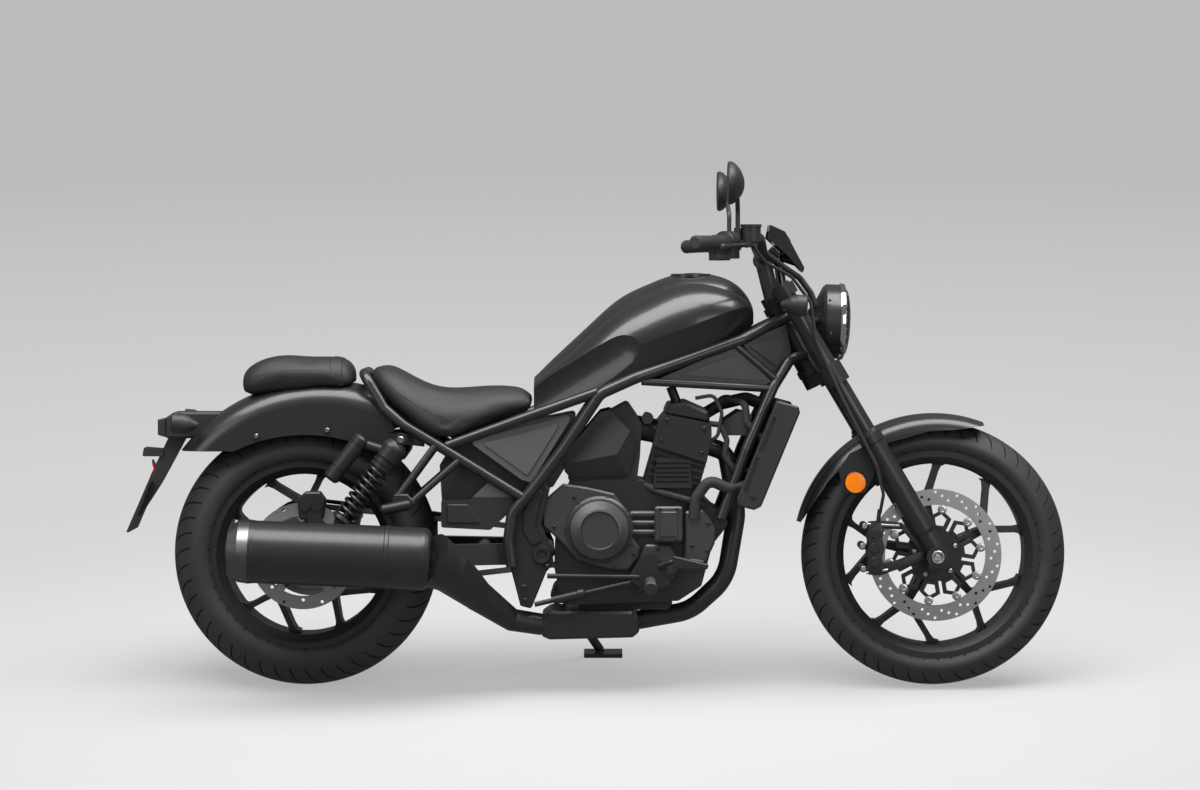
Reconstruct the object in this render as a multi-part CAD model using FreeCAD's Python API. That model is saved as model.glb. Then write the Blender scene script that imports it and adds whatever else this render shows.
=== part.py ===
"""A cruiser motorcycle, parked on its side stand.

The machine is modelled upright: X runs forward from the rear axle, Y to the rider's left, Z up from the
ground line. At the end every piece is leaned over onto the side stand and moved so that the origin lies
on the floor under the middle of the machine.
"""
import FreeCAD, Part
import math
import os

# Stance and wheels
LEAN_DEG = 9.0
WHEELBASE = 1520.0
RAKE_DEG = 28.0
TRAIL = 110.0
FORK_DEG = 30.6
FRONT_TYRE_R = 319.5
FRONT_TYRE_W = 130.0
FRONT_CROWN_R = 68.0
FRONT_BEAD_R = 243.0
FRONT_RIM_W = 96.0
REAR_TYRE_R = 320.0
REAR_TYRE_W = 180.0
REAR_CROWN_R = 96.0
REAR_BEAD_R = 218.0
REAR_RIM_W = 140.0
TYRE_WALL = 9.0
RIM_WALL = 5.0
RIM_DEPTH = 24.0
RIM_LIP = 9.0
ARMS = 5
FORK_SHARE = 0.6
BRANCH_TURNS = (28.6, -10.3)
FRONT_ARM_DEG = 25.6
REAR_ARM_DEG = 17.0

# Fits and gaps
FIT = 0.1
SOFT_GAP = 0.4
SEAT_GAP = 0.3

# Reach of the machine's ends, which centre it over the origin
TAIL_REACH = 426.0
BAR_HALF = 415.0
BAR_END_Z = 1068.0
PEG_REACH = 335.0
PEG_X = 831.0
PEG_Z = 262.0

# Frame
MAIN_TUBE_R = 14.0
BRACE_TUBE_R = 12.7
LIGHT_TUBE_R = 9.5
HEAD_TUBE_R = 31.0
STEM_R = 15.0
HEAD_BASE_Z = 860.0
HEAD_LOW = -118.0
HEAD_HIGH = 72.0
YOKE_THICK = 30.0
FRAME_HALF = 150.0
PIVOT_X = 573.0
PIVOT_Z = 327.0
PIVOT_BORE_R = 10.0
PLATE_IN = 126.0
PLATE_OUT = 142.0

# Fork
FORK_HALF = 105.0
FORK_TUBE_R = 21.5
SLIDER_R = 27.0
FORK_X = 1250.0
FORK_Z = 791.0
FORK_TOP_Z = 972.0
SLIDER_TOP_Z = 622.0
AXLE_R = 12.0
AXLE_BORE_R = 8.0
AXLE_HALF = 136.0
FENDER_R = 340.0
FENDER_HALF = 76.0

# Brakes
FRONT_DISC_R = 160.0
FRONT_DISC_IN_R = 136.0
FRONT_DISC_Y = -64.0
REAR_DISC_R = 128.0
REAR_DISC_IN_R = 96.0
REAR_DISC_Y = -104.0
DISC_THICK = 5.0
DISC_HOLE_R = 4.0
PAD_ROOM = 8.0

# Chain drive
CHAIN_PITCH = 14.0
CHAIN_Y = 109.0
CHAIN_WIDTH = 18.0
CHAIN_PLATE_T = 2.5
CHAIN_DEPTH = 13.0
ROLLER_R = 4.6
REAR_TEETH = 48
FRONT_TEETH = 16
CHAIN_LINKS = 126
SPROCKET_T = 6.0

# Muffler
MUFFLER_R = 74.0
MUFFLER_Y = -242.0
MUFFLER_REAR = (-163.0, 345.0)
MUFFLER_FRONT = (312.0, 324.5)
MUFFLER_CAP = 50.0
HEADER_R = 20.0

# Engine
CASE_RIGHT = -112.0
CASE_LEFT = 94.0
CLUTCH_AT = (711.0, 387.0)
CLUTCH_R = 80.0
HEAD_HALF = 118.0

# Bars and lamps
BAR_R = 12.7
GRIP_R = 16.5
GRIP_LONG = 128.0
LAMP_R = 90.0
LAMP_AT = (1215.0, 884.0)
INDICATOR_R = 25.5
MIRROR_HALF = 350.0


def vec(x, y, z):
    return FreeCAD.Vector(x, y, z)


def polar(centre, radius, degrees):
    angle = math.radians(degrees)
    return (centre[0] + radius * math.cos(angle), centre[1] + radius * math.sin(angle))


REAR_AXLE_Z = REAR_TYRE_R - REAR_CROWN_R + REAR_CROWN_R / math.cos(math.radians(LEAN_DEG))
FRONT_AXLE_Z = FRONT_TYRE_R - FRONT_CROWN_R + FRONT_CROWN_R / math.cos(math.radians(LEAN_DEG))
REAR_AXLE = vec(0, 0, REAR_AXLE_Z)
FRONT_AXLE = vec(WHEELBASE, 0, FRONT_AXLE_Z)
ACROSS = vec(0, 1, 0)
STEER_UP = vec(-math.sin(math.radians(RAKE_DEG)), 0, math.cos(math.radians(RAKE_DEG)))
STEER_OUT = vec(math.cos(math.radians(RAKE_DEG)), 0, math.sin(math.radians(RAKE_DEG)))
STEER_BASE = vec(WHEELBASE + TRAIL - HEAD_BASE_Z * math.tan(math.radians(RAKE_DEG)), 0, HEAD_BASE_Z)
CENTRE_X = (WHEELBASE + FRONT_TYRE_R - TAIL_REACH) / 2
LEFT_REACH = BAR_HALF * math.cos(math.radians(LEAN_DEG)) + BAR_END_Z * math.sin(math.radians(LEAN_DEG))
RIGHT_REACH = PEG_REACH * math.cos(math.radians(LEAN_DEG)) - PEG_Z * math.sin(math.radians(LEAN_DEG))
CENTRE_Y = (LEFT_REACH - RIGHT_REACH) / 2


def fork_point(z, y):
    return vec(FORK_X - (z - FORK_Z) * math.tan(math.radians(FORK_DEG)), y, z)


def fork_at(z):
    """The fork line's place in X and Z."""
    point = fork_point(z, 0)
    return (point.x, point.z)


def steer_point(along, out=0.0, side=0.0):
    return STEER_BASE + STEER_UP * along + STEER_OUT * out + ACROSS * side


# Solids

def prism(points, push):
    """A flat outline of points in space, pushed into a solid."""
    return Part.Face(Part.makePolygon(points + points[:1])).extrude(push)


def steer_slab(outline, low, high):
    """An outline of (outward, sideways) points, given thickness along the steering axis."""
    return prism([steer_point(low, out, side) for out, side in outline], STEER_UP * (high - low))


def rod(start, end, radius):
    return Part.makeCylinder(radius, start.distanceToPoint(end), start, end - start)


def cone(start, end, radius_a, radius_b):
    return Part.makeCone(radius_a, radius_b, start.distanceToPoint(end), start, end - start)


def across(centre, radius, y_low, y_high):
    return rod(vec(centre[0], y_low, centre[1]), vec(centre[0], y_high, centre[1]), radius)


def slab(outline, y_low, y_high):
    """An outline in X and Z, given thickness across the machine."""
    return prism([vec(x, y_low, z) for x, z in outline], vec(0, y_high - y_low, 0))


def deck(outline, z_low, z_high):
    """An outline in X and Y, given height."""
    return prism([vec(x, y, z_low) for x, y in outline], vec(0, 0, z_high - z_low))


def toed_slab(outline, rear, front, thick):
    """A flat panel in X and Z whose distance from the middle changes evenly from rear to front."""
    slope = (front[1] - rear[1]) / (front[0] - rear[0])
    return prism([vec(x, rear[1] + slope * (x - rear[0]), z) for x, z in outline], vec(0, thick, 0))


def inset(outline, gap):
    """The outline with every side moved inward by the same gap."""
    area = sum(a[0] * b[1] - b[0] * a[1] for a, b in zip(outline, outline[1:] + outline[:1]))
    sign = math.copysign(1.0, area)
    moved = []
    for i, corner in enumerate(outline):
        before = outline[i - 1]
        after = outline[(i + 1) % len(outline)]
        into = math.atan2(corner[1] - before[1], corner[0] - before[0])
        out = math.atan2(after[1] - corner[1], after[0] - corner[0])
        turn = (out - into + math.pi) % (2 * math.pi) - math.pi
        reach = gap / math.cos(turn / 2)
        way = into + turn / 2 + sign * math.pi / 2
        moved.append((corner[0] + reach * math.cos(way), corner[1] + reach * math.sin(way)))
    return moved


def rounded_wire(points, radius):
    """A closed outline of straight runs whose corners are arcs of one radius."""
    count = len(points)
    trims = []
    for i in range(count):
        into = (points[i] - points[i - 1]).normalize()
        out = (points[(i + 1) % count] - points[i]).normalize()
        turn = into.getAngle(out)
        trim = radius * math.tan(turn / 2)
        bulge = radius / math.cos(turn / 2) - radius
        middle = points[i] + (out - into).normalize() * bulge
        trims.append((points[i] - into * trim, middle, points[i] + out * trim))
    edges = []
    for i in range(count):
        edges.append(Part.LineSegment(trims[i - 1][2], trims[i][0]).toShape())
        edges.append(Part.Arc(*trims[i]).toShape())
    return Part.Wire(edges)


def rounded_slab(outline, radius, y_low, y_high):
    wire = rounded_wire([vec(x, y_low, z) for x, z in outline], radius)
    return Part.Face(wire).extrude(vec(0, y_high - y_low, 0))


def cover(outline, radius, y_base, y_face, bevel):
    """A rounded plate on a base plane, with a bevel round its outer face."""
    body = rounded_slab(outline, radius, min(y_base, y_face), max(y_base, y_face))
    rim = [e for e in body.Edges if abs(e.BoundBox.Center.y - y_face) < 0.01 and e.BoundBox.YLength < 0.01]
    return body.makeChamfer(bevel, rim)


def bent_tube(points, radius, bends):
    """A round tube along straight runs that tangent arcs join, all of one radius or each of its own."""
    points = [vec(*p) for p in points]
    if not isinstance(bends, list):
        bends = [bends] * (len(points) - 2)
    edges = []
    start = points[0]
    for before, corner, after, bend in zip(points, points[1:], points[2:], bends):
        into = (corner - before).normalize()
        out = (after - corner).normalize()
        turn = into.getAngle(out)
        trim = bend * math.tan(turn / 2)
        bulge = bend / math.cos(turn / 2) - bend
        first = corner - into * trim
        last = corner + out * trim
        edges.append(Part.LineSegment(start, first).toShape())
        edges.append(Part.Arc(first, corner + (out - into).normalize() * bulge, last).toShape())
        start = last
    edges.append(Part.LineSegment(start, points[-1]).toShape())
    ring = Part.Wire(Part.Circle(points[0], points[1] - points[0], radius).toShape())
    return Part.Wire(edges).makePipeShell([ring], True, False)


def turned(profile, centre, axis=ACROSS):
    """A ring turned from a profile of (y, radius) points about an axle."""
    points = [vec(centre.x, centre.y + y, centre.z + r) for y, r in profile]
    return Part.Face(Part.makePolygon(points + points[:1])).revolve(centre, axis, 360)


def turned_along(start, way, profile):
    """A turned piece from (distance, radius) points along its own axis."""
    way = vec(way.x, way.y, way.z).normalize()
    side = way.cross(vec(0, 0, 1)).normalize()
    points = [start + way * d + side * r for d, r in profile]
    return Part.Face(Part.makePolygon(points + points[:1])).revolve(start, way, 360)


def strip(start, end, thick, width):
    """A flat bar between two points, with its thickness given as a vector."""
    side = (end - start).cross(thick).normalize() * (width / 2)
    return prism([start - side, end - side, end + side, start + side], thick)


def mirrored(shape):
    return shape.mirror(vec(0, 0, 0), ACROSS)


def pair(shape):
    return [shape, mirrored(shape)]


def joined(shapes):
    shapes = list(shapes)
    if len(shapes) == 1:
        return shapes[0]
    return shapes[0].multiFuse(shapes[1:]).removeSplitter()


def cope(shapes, tools):
    """Each shape with the tools cut away, so that it ends flush on them."""
    tools = [solid for tool in tools for solid in tool.Solids]
    kept = []
    for shape in shapes:
        near = [t for t in tools if t.BoundBox.intersect(shape.BoundBox)]
        trimmed = shape.cut(near) if near else shape
        kept += [s for s in trimmed.Solids if s.Volume > 200.0]
    return kept


def shaved(shape, a, b, c, outward):
    """The shape with everything cut off that lies beyond the plane of three points."""
    normal = (b - a).cross(c - a).normalize()
    if normal.dot(outward) < 0:
        normal = normal * -1
    return shape.cut(Part.makeCylinder(500, 200, a, normal))


def largest(shapes):
    return [max(shapes, key=lambda s: s.Volume)]


# Wheels

CROWN_MARKS = (LEAN_DEG, 25.0, 41.0, 58.0)


def tyre(centre, radius, width, crown_r, bead_r, rim_width):
    """A tyre in flat bands, one of them edged where the leaning machine meets the floor."""
    half = width / 2
    crown = radius - crown_r

    def section(drop, marks):
        reach = crown_r - drop
        right = [(reach * math.sin(math.radians(m)), crown + reach * math.cos(math.radians(m))) for m in marks]
        side_z = (right[-1][1] + bead_r) / 2
        right += [(half - drop, side_z + 14), (half - drop, side_z - 14), (rim_width / 2 - drop, bead_r)]
        left = [(-y, z) for y, z in reversed(right)]
        return left + right

    outer = section(0.0, CROWN_MARKS)
    inner = section(TYRE_WALL, CROWN_MARKS[1::2])
    return turned(outer + inner[::-1], centre)


def blade(start, end, widths):
    """A flat outline along a line: widths are (share of the way, width) from start to end."""
    run = (end[0] - start[0], end[1] - start[1])
    long = math.hypot(*run)
    side = (-run[1] / long, run[0] / long)
    left = [(start[0] + run[0] * s + side[0] * w / 2, start[1] + run[1] * s + side[1] * w / 2) for s, w in widths]
    right = [(start[0] + run[0] * s - side[0] * w / 2, start[1] + run[1] * s - side[1] * w / 2) for s, w in widths]
    return left + right[::-1]


def spoke(centre, hub_r, rim_r, deep, degrees):
    """One arm from the hub that forks into two thin blades, each flared where it meets the rim."""
    at = (centre.x, centre.z)
    fork = polar(at, rim_r * FORK_SHARE, degrees)
    outlines = [blade(polar(at, hub_r * 0.8, degrees), fork, [(0, 26), (0.6, 21), (1, 17)])]
    for turn in BRANCH_TURNS:
        tip = polar(at, rim_r, degrees + turn)
        outlines.append(blade(fork, tip, [(-0.06, 16), (0.4, 13.5), (0.8, 13.5), (0.94, 19), (1, 34)]))
    return joined([slab(outline, -deep, deep) for outline in outlines])


def cast_wheel(centre, bead_r, rim_width, hub_r, hub_right, hub_left, well, first):
    half = rim_width / 2
    flange = bead_r + RIM_LIP
    low = bead_r - RIM_DEPTH
    band = [(-half - RIM_WALL, flange), (-half, flange), (-half, bead_r), (-half + well, bead_r)]
    band += [(-half + well + 9, low + RIM_WALL), (half - well - 9, low + RIM_WALL), (half - well, bead_r)]
    band += [(half, bead_r), (half, flange), (half + RIM_WALL, flange), (half + RIM_WALL, bead_r - 6)]
    band += [(half - well, low), (-half + well, low), (-half - RIM_WALL, bead_r - 6)]
    bore_r = AXLE_R + FIT
    hub = [(-hub_right, bore_r), (-hub_right, hub_r * 0.72), (-hub_right * 0.6, hub_r)]
    hub += [(hub_left * 0.6, hub_r), (hub_left, hub_r * 0.72), (hub_left, bore_r)]
    deep = hub_right * 0.55
    taper = turned([(-deep, hub_r * 0.75), (deep, hub_r * 0.75), (half * 0.45, low + 2), (-half * 0.45, low + 2)],
                   centre)
    star = joined([spoke(centre, hub_r, low + 2, deep, first + 360.0 / ARMS * i) for i in range(ARMS)])
    return joined([turned(band, centre), turned(hub, centre), star.common(taper)])


def brake_disc(centre, outer_r, inner_r, y, hub_r, arms, holes):
    """A drilled ring, held by a lattice whose arms cross on their way from the hub to the ring's pins."""
    flat = [(y - DISC_THICK / 2, inner_r), (y + DISC_THICK / 2, inner_r)]
    flat += [(y + DISC_THICK / 2, outer_r), (y - DISC_THICK / 2, outer_r)]
    at = (centre.x, centre.z)
    cuts = []
    for i in range(holes):
        radius = inner_r + (outer_r - inner_r) * (0.3 + 0.42 * (i % 2))
        cuts.append(across(polar(at, radius, 360.0 / holes * i), DISC_HOLE_R, y - DISC_THICK, y + DISC_THICK))
    collar = [(y - 3, hub_r - 14), (y + 3, hub_r - 14), (y + 3, hub_r + 4), (y - 3, hub_r + 4)]
    pieces = [turned(flat, centre).cut(cuts), turned(collar, centre)]
    pin_r = inner_r - 5
    for i in range(arms):
        angle = 360.0 / arms * (i + 0.27)
        tip = polar(at, pin_r, angle)
        pieces.append(across(tip, 10, y - 4, y + 4))
        for lean in (-1, 1):
            foot = polar(at, hub_r - 5, angle + lean * 360.0 / arms)
            pieces.append(strip(vec(foot[0], y - 2.5, foot[1]), vec(tip[0], y - 2.5, tip[1]), vec(0, 5, 0), 8))
    return joined(pieces)


# Chain

FRONT_SPROCKET_Z = PIVOT_Z - 2.0


def sprocket_r(teeth):
    return CHAIN_PITCH / (2 * math.sin(math.pi / teeth))


def chain_centres():
    """The front sprocket's distance that makes the loop a whole number of links."""
    big = sprocket_r(REAR_TEETH)
    small = sprocket_r(FRONT_TEETH)
    length = CHAIN_LINKS * CHAIN_PITCH
    low = big + small
    high = length / 2
    for _ in range(60):
        gap = (low + high) / 2
        lean = math.asin((big - small) / gap)
        loop = 2 * gap * math.cos(lean) + big * (math.pi + 2 * lean) + small * (math.pi - 2 * lean)
        low, high = (gap, high) if loop < length else (low, gap)
    return gap, lean


def chain_path(along, offset=0.0):
    """The point at a distance along the chain's loop, moved outward by an offset."""
    big = sprocket_r(REAR_TEETH)
    small = sprocket_r(FRONT_TEETH)
    gap, lean = chain_centres()
    run = gap * math.cos(lean)
    tilt = math.asin((FRONT_SPROCKET_Z - REAR_AXLE_Z) / gap)
    arc_small = small * (math.pi - 2 * lean)
    if along < run:
        start = polar((0, 0), big + offset, 90 - math.degrees(lean))
        point = polar(start, along, -math.degrees(lean))
    elif along < run + arc_small:
        turn = math.degrees((along - run) / small)
        point = polar((gap, 0), small + offset, 90 - math.degrees(lean) - turn)
    elif along < 2 * run + arc_small:
        start = polar((gap, 0), small + offset, math.degrees(lean) - 90)
        point = polar(start, along - run - arc_small, 180 + math.degrees(lean))
    else:
        turn = math.degrees((along - 2 * run - arc_small) / big)
        point = polar((0, 0), big + offset, math.degrees(lean) - 90 - turn)
    x = point[0] * math.cos(tilt) - point[1] * math.sin(tilt)
    z = point[0] * math.sin(tilt) + point[1] * math.cos(tilt) + REAR_AXLE_Z
    return (x, z)


def chain_band(y_low, y_high, inner, outer):
    """A flat loop of side plates between two offsets from the pitch line."""
    big = sprocket_r(REAR_TEETH)
    small = sprocket_r(FRONT_TEETH)
    gap, lean = chain_centres()
    run = gap * math.cos(lean)
    arc_small = small * (math.pi - 2 * lean)
    total = CHAIN_LINKS * CHAIN_PITCH

    def loop(offset):
        marks = [0.0, run, run + arc_small / 2, run + arc_small, 2 * run + arc_small]
        marks.append((2 * run + arc_small + total) / 2)
        p = [chain_path(m, offset) for m in marks]
        p = [vec(x, y_low, z) for x, z in p]
        edges = [Part.LineSegment(p[0], p[1]).toShape(), Part.Arc(p[1], p[2], p[3]).toShape()]
        edges += [Part.LineSegment(p[3], p[4]).toShape(), Part.Arc(p[4], p[5], p[0]).toShape()]
        return Part.Face(Part.Wire(edges))

    return loop(outer).cut(loop(inner)).extrude(vec(0, y_high - y_low, 0)).Solids[0]


def link_pin(along):
    """One pin with its bush, squared off, between the side plates."""
    half = ROLLER_R * 0.58
    here = chain_path(along)
    ahead = chain_path(along + 1.0)
    way = math.degrees(math.atan2(ahead[1] - here[1], ahead[0] - here[0]))
    outline = [polar(here, half * math.sqrt(2), way + 45 + 90 * i) for i in range(4)]
    reach = CHAIN_WIDTH / 2 - 1
    return slab(outline, CHAIN_Y - reach, CHAIN_Y + reach)


def drive_chain():
    half = CHAIN_WIDTH / 2
    pieces = [chain_band(CHAIN_Y - half, CHAIN_Y - half + CHAIN_PLATE_T, -CHAIN_DEPTH / 2, CHAIN_DEPTH / 2)]
    pieces.append(chain_band(CHAIN_Y + half - CHAIN_PLATE_T, CHAIN_Y + half, -CHAIN_DEPTH / 2, CHAIN_DEPTH / 2))
    pieces += [link_pin(CHAIN_PITCH * i) for i in range(CHAIN_LINKS)]
    return pieces[0].multiFuse(pieces[1:])


def sprocket(centre, teeth, first_roller, bore_r, thick):
    """A toothed plate whose seats lie under the chain's rollers."""
    pitch_r = sprocket_r(teeth)
    outline = [(-thick / 2, bore_r), (thick / 2, bore_r), (thick / 2, pitch_r + 2.6), (0.6, pitch_r + 4.6)]
    outline += [(-0.6, pitch_r + 4.6), (-thick / 2, pitch_r + 2.6)]
    phase = math.degrees(math.atan2(first_roller[1] - centre.z, first_roller[0] - centre.x))
    seat_r = ROLLER_R + 4 * FIT
    cuts = []
    for i in range(teeth):
        angle = phase + 360.0 / teeth * i
        seat = polar((centre.x, centre.z), pitch_r, angle)
        cuts.append(across(seat, seat_r, CHAIN_Y - thick, CHAIN_Y + thick))
        mouth = [polar(seat, seat_r, angle - 90), polar(seat, seat_r, angle + 90)]
        mouth += [polar(seat, seat_r * 2.1, angle + 50), polar(seat, seat_r * 2.1, angle - 50)]
        cuts.append(slab(mouth, CHAIN_Y - thick, CHAIN_Y + thick))
    return turned(outline, centre).cut(cuts)


def rear_sprocket():
    plate = sprocket(vec(0, CHAIN_Y, REAR_AXLE_Z), REAR_TEETH, chain_path(0.0), 40, SPROCKET_T)
    windows = [polar((0, REAR_AXLE_Z), 72.0, 60.0 * i + 30) for i in range(6)]
    return plate.cut([across(w, 17.0, CHAIN_Y - SPROCKET_T, CHAIN_Y + SPROCKET_T) for w in windows])


def front_sprocket_centre():
    gap, _ = chain_centres()
    tilt = math.asin((FRONT_SPROCKET_Z - REAR_AXLE_Z) / gap)
    return vec(gap * math.cos(tilt), CHAIN_Y, FRONT_SPROCKET_Z)


def front_sprocket():
    gap, lean = chain_centres()
    centre = front_sprocket_centre()
    first = math.ceil(gap * math.cos(lean) / CHAIN_PITCH) * CHAIN_PITCH
    plate = sprocket(centre, FRONT_TEETH, chain_path(first), 0, SPROCKET_T)
    shaft = across((centre.x, centre.z), 17, CASE_LEFT - 14, CHAIN_Y + 12)
    return joined([plate, shaft])


# Frame

TOP_TUBE = [(1176, 33, 902), (1051, 96, 839), (798, 142, 750), (712, FRAME_HALF, 712), (624, FRAME_HALF, 579),
            (548, FRAME_HALF, 480), (503, FRAME_HALF, 428), (494, FRAME_HALF, 360), (502, FRAME_HALF, 300)]
DOWN_TUBE = [(1206, 30, 800), (1172, 60, 795), (1128, 88, 726), (1061, 118, 575), (1001, 126, 412)]
SEAT_RAIL = [(706, FRAME_HALF, 716), (522, FRAME_HALF, 651), (347, 132, 587)]
SEAT_LOOP = [(530, FRAME_HALF, 462), (394, 140, 546), (307, 132, 599), (244, 126, 636), (196, 116, 676),
             (146, 100, 758)]
CROSS_RAIL = [(812, 139, 741), (1126, 88, 722)]
DIAGONAL = [(1030, 100, 832), (1134, 84, 744)]
DOWN_TUBE_EYE = (1001.0, 402.0)


def head_solid():
    body = rod(steer_point(HEAD_LOW), steer_point(HEAD_HIGH), HEAD_TUBE_R)
    for along in (HEAD_LOW, HEAD_HIGH - 18):
        body = body.fuse(rod(steer_point(along), steer_point(along + 18), HEAD_TUBE_R + 4))
    return body.removeSplitter()


def head_tube():
    return head_solid().cut(rod(steer_point(HEAD_LOW - 5), steer_point(HEAD_HIGH + 5), STEM_R + FIT))


def seat_loop(radius=BRACE_TUBE_R):
    far = [(x, -y, z) for x, y, z in reversed(SEAT_LOOP)]
    return bent_tube(SEAT_LOOP + far, radius, 34)


def pivot_plate():
    """The casting that joins the frame tube, the engine and the swingarm pivot."""
    outline = [(500, 400), (514, 452), (558, 524), (592, 484), (572, 398), (598, 340), (601, 306), (584, 286),
               (548, 198), (522, 204), (500, 289), (492, 330)]
    plate = cover(outline, 7, PLATE_IN, PLATE_OUT, 3)
    panel = cover([(528, 430), (560, 490), (576, 476), (558, 396), (574, 356), (548, 350), (528, 380)], 7,
                  PLATE_OUT - 1, PLATE_OUT + 5, 2.5)
    ring = turned([(PLATE_OUT - 1, 0), (PLATE_OUT - 1, 24), (PLATE_OUT + 8, 20), (PLATE_OUT + 8, 13),
                   (PLATE_OUT + 4, 11), (PLATE_OUT + 4, 0)], vec(PIVOT_X, 0, PIVOT_Z))
    bore = across((PIVOT_X, PIVOT_Z), PIVOT_BORE_R, PLATE_IN - 6, PLATE_OUT)
    return joined([plate, panel, ring]).cut(bore)


def swingarm():
    plan = [(-52, 128), (-52, 154), (345, 154), (470, 122), (598, 122), (598, 92), (460, 92), (330, 128)]
    arm = deck(plan, PIVOT_Z - 26, PIVOT_Z + 24)
    side = [(-52, REAR_AXLE_Z - 22), (-52, REAR_AXLE_Z + 22), (330, PIVOT_Z + 24), (560, PIVOT_Z + 24)]
    side += [(598, PIVOT_Z + 12), (598, PIVOT_Z - 14), (560, PIVOT_Z - 26), (330, PIVOT_Z - 26)]
    arm = arm.common(slab(side, 80, 160))
    tab = rounded_slab([(45, 330), (105, 330), (96, 394), (62, 394)], 6, 130, 140)
    cross = across((430, PIVOT_Z - 1), 22, -110, 110)
    hub = across((PIVOT_X, PIVOT_Z), 25, -124, 124)
    body = joined(pair(arm) + pair(tab) + [cross, hub])
    slot = slab([(-24, REAR_AXLE_Z - 5), (-24, REAR_AXLE_Z + 5), (24, REAR_AXLE_Z + 5), (24, REAR_AXLE_Z - 5)],
                150, 158)
    cuts = [across((PIVOT_X, PIVOT_Z), PIVOT_BORE_R, -200, 200), across((0, REAR_AXLE_Z), AXLE_R, -200, 200)]
    return body.cut(cuts + pair(slot))


def rear_axle():
    body = across((0, REAR_AXLE_Z), AXLE_R, -160, 160)
    nuts = pair(across((0, REAR_AXLE_Z), 19, 154, 162))
    collars = [turned([(106.5, AXLE_R), (128, AXLE_R), (128, 20), (106.5, 20)], REAR_AXLE)]
    collars.append(turned([(-128, AXLE_R), (-101.5, AXLE_R), (-101.5, 20), (-128, 20)], REAR_AXLE))
    bore = across((0, REAR_AXLE_Z), AXLE_BORE_R, 114, 164)
    return joined([body] + nuts + collars).cut(bore)


# Tank, seats and fenders

def tank_section(x, z_low, z_crease, z_edge, z_top, low_half, half, edge_half, grow=0.0):
    """Half-round on top, a full side down to the crease, and tucked in below it."""
    spots = [(-low_half - grow, z_low - grow), (-half - grow, z_crease), (-edge_half, z_edge + grow)]
    spots += [(edge_half, z_edge + grow), (half + grow, z_crease), (low_half + grow, z_low - grow)]
    p = [vec(x, y, z) for y, z in spots]
    side_y = (half + edge_half) / 2 + (half - edge_half) * 0.24 + grow
    side_z = (z_crease + z_edge) / 2 + (z_edge - z_crease) * 0.1
    edges = [Part.LineSegment(p[0], p[1]).toShape(), Part.Arc(p[1], vec(x, -side_y, side_z), p[2]).toShape()]
    edges.append(Part.Arc(p[2], vec(x, 0, z_top + grow), p[3]).toShape())
    edges += [Part.Arc(p[3], vec(x, side_y, side_z), p[4]).toShape(), Part.LineSegment(p[4], p[5]).toShape()]
    edges.append(Part.LineSegment(p[5], p[0]).toShape())
    return Part.Wire(edges)


TANK_ROWS = [(553, 670, 700, 737, 748, 76, 88, 48), (572, 677, 712, 752, 766, 86, 100, 54),
             (640, 698, 745, 808, 831, 106, 118, 62), (700, 718, 778, 862, 887, 120, 131, 66),
             (760, 740, 808, 911, 938, 130, 142, 68), (830, 766, 838, 946, 973, 132, 152, 70),
             (880, 785, 856, 966, 992, 128, 155, 70), (990, 828, 897, 967, 994, 104, 140, 64),
             (1037, 850, 913, 950, 975, 80, 114, 52), (1068, 866, 916, 930, 944, 56, 78, 38),
             (1082, 878, 900, 908, 915, 38, 46, 24)]
KNEE_START = (560.0, 188.0, 700.0)
KNEE_END = (738.0, 234.0, 812.0)
KNEE_R = 110.0
CAP_AT = (932.0, 0.0, 990.0)


def fuel_tank(grow=0.0):
    hoops = []
    for row in TANK_ROWS:
        x_out = row[0] - grow if row is TANK_ROWS[0] else row[0]
        hoops.append(tank_section(x_out, *row[1:], grow))
    return Part.makeLoft(hoops, True, False)


def knee_recess():
    """The hollow that the rider's knee grips, drawn as a long groove with a round front end."""
    start = vec(*KNEE_START)
    end = vec(*KNEE_END)
    back = start + (start - end).normalize() * 120
    return joined([rod(back, end, KNEE_R), Part.makeSphere(KNEE_R, end)])


def fuel_cap():
    base = vec(*CAP_AT)
    profile = [(0, 0), (0, 49), (6, 49), (8, 46), (8, 30), (6.5, 28), (6.5, 14), (9, 12), (9, 0)]
    points = [base + vec(r, 0, h) for h, r in profile]
    return Part.Face(Part.makePolygon(points + points[:1])).revolve(base, vec(0, 0, 1), 360)


def pad_section(x, z_low, z_high, half, low_half, crown, z_wide):
    """A closed hoop across the machine: flat below, full at the side, crowned above."""
    top = half * crown
    shoulder = z_high - (z_high - z_wide) * 0.16
    points = [(-low_half, z_low), (-half, z_wide), (-top, shoulder), (0, z_high), (top, shoulder)]
    points += [(half, z_wide), (low_half, z_low)]
    spots = [vec(x, y, z) for y, z in points]
    curve = Part.BSplineCurve()
    curve.interpolate(spots)
    return Part.Wire([curve.toShape(), Part.LineSegment(spots[-1], spots[0]).toShape()])


SEAT_ROWS = [(162, 736, 764, 62, 52, 0.7, 753), (196, 694, 776, 104, 96, 0.7, 736),
             (250, 650, 748, 134, 128, 0.72, 706), (330, 606, 716, 146, 138, 0.74, 668),
             (400, 616, 717, 144, 140, 0.72, 676), (470, 642, 721, 130, 124, 0.7, 690),
             (548, 676, 712, 96, 90, 0.7, 696)]
PILLION_ROWS = [(-150, 712, 746, 60, 54, 0.7, 730), (-128, 704, 772, 90, 84, 0.72, 742),
                (-100, 708, 786, 98, 92, 0.74, 750), (-20, 716, 793, 104, 98, 0.74, 758),
                (70, 716, 791, 98, 92, 0.72, 758), (104, 712, 782, 90, 84, 0.72, 750),
                (121, 716, 752, 70, 64, 0.7, 734)]


def pad(rows):
    return Part.makeLoft([pad_section(*row) for row in rows], True, False)


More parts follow.
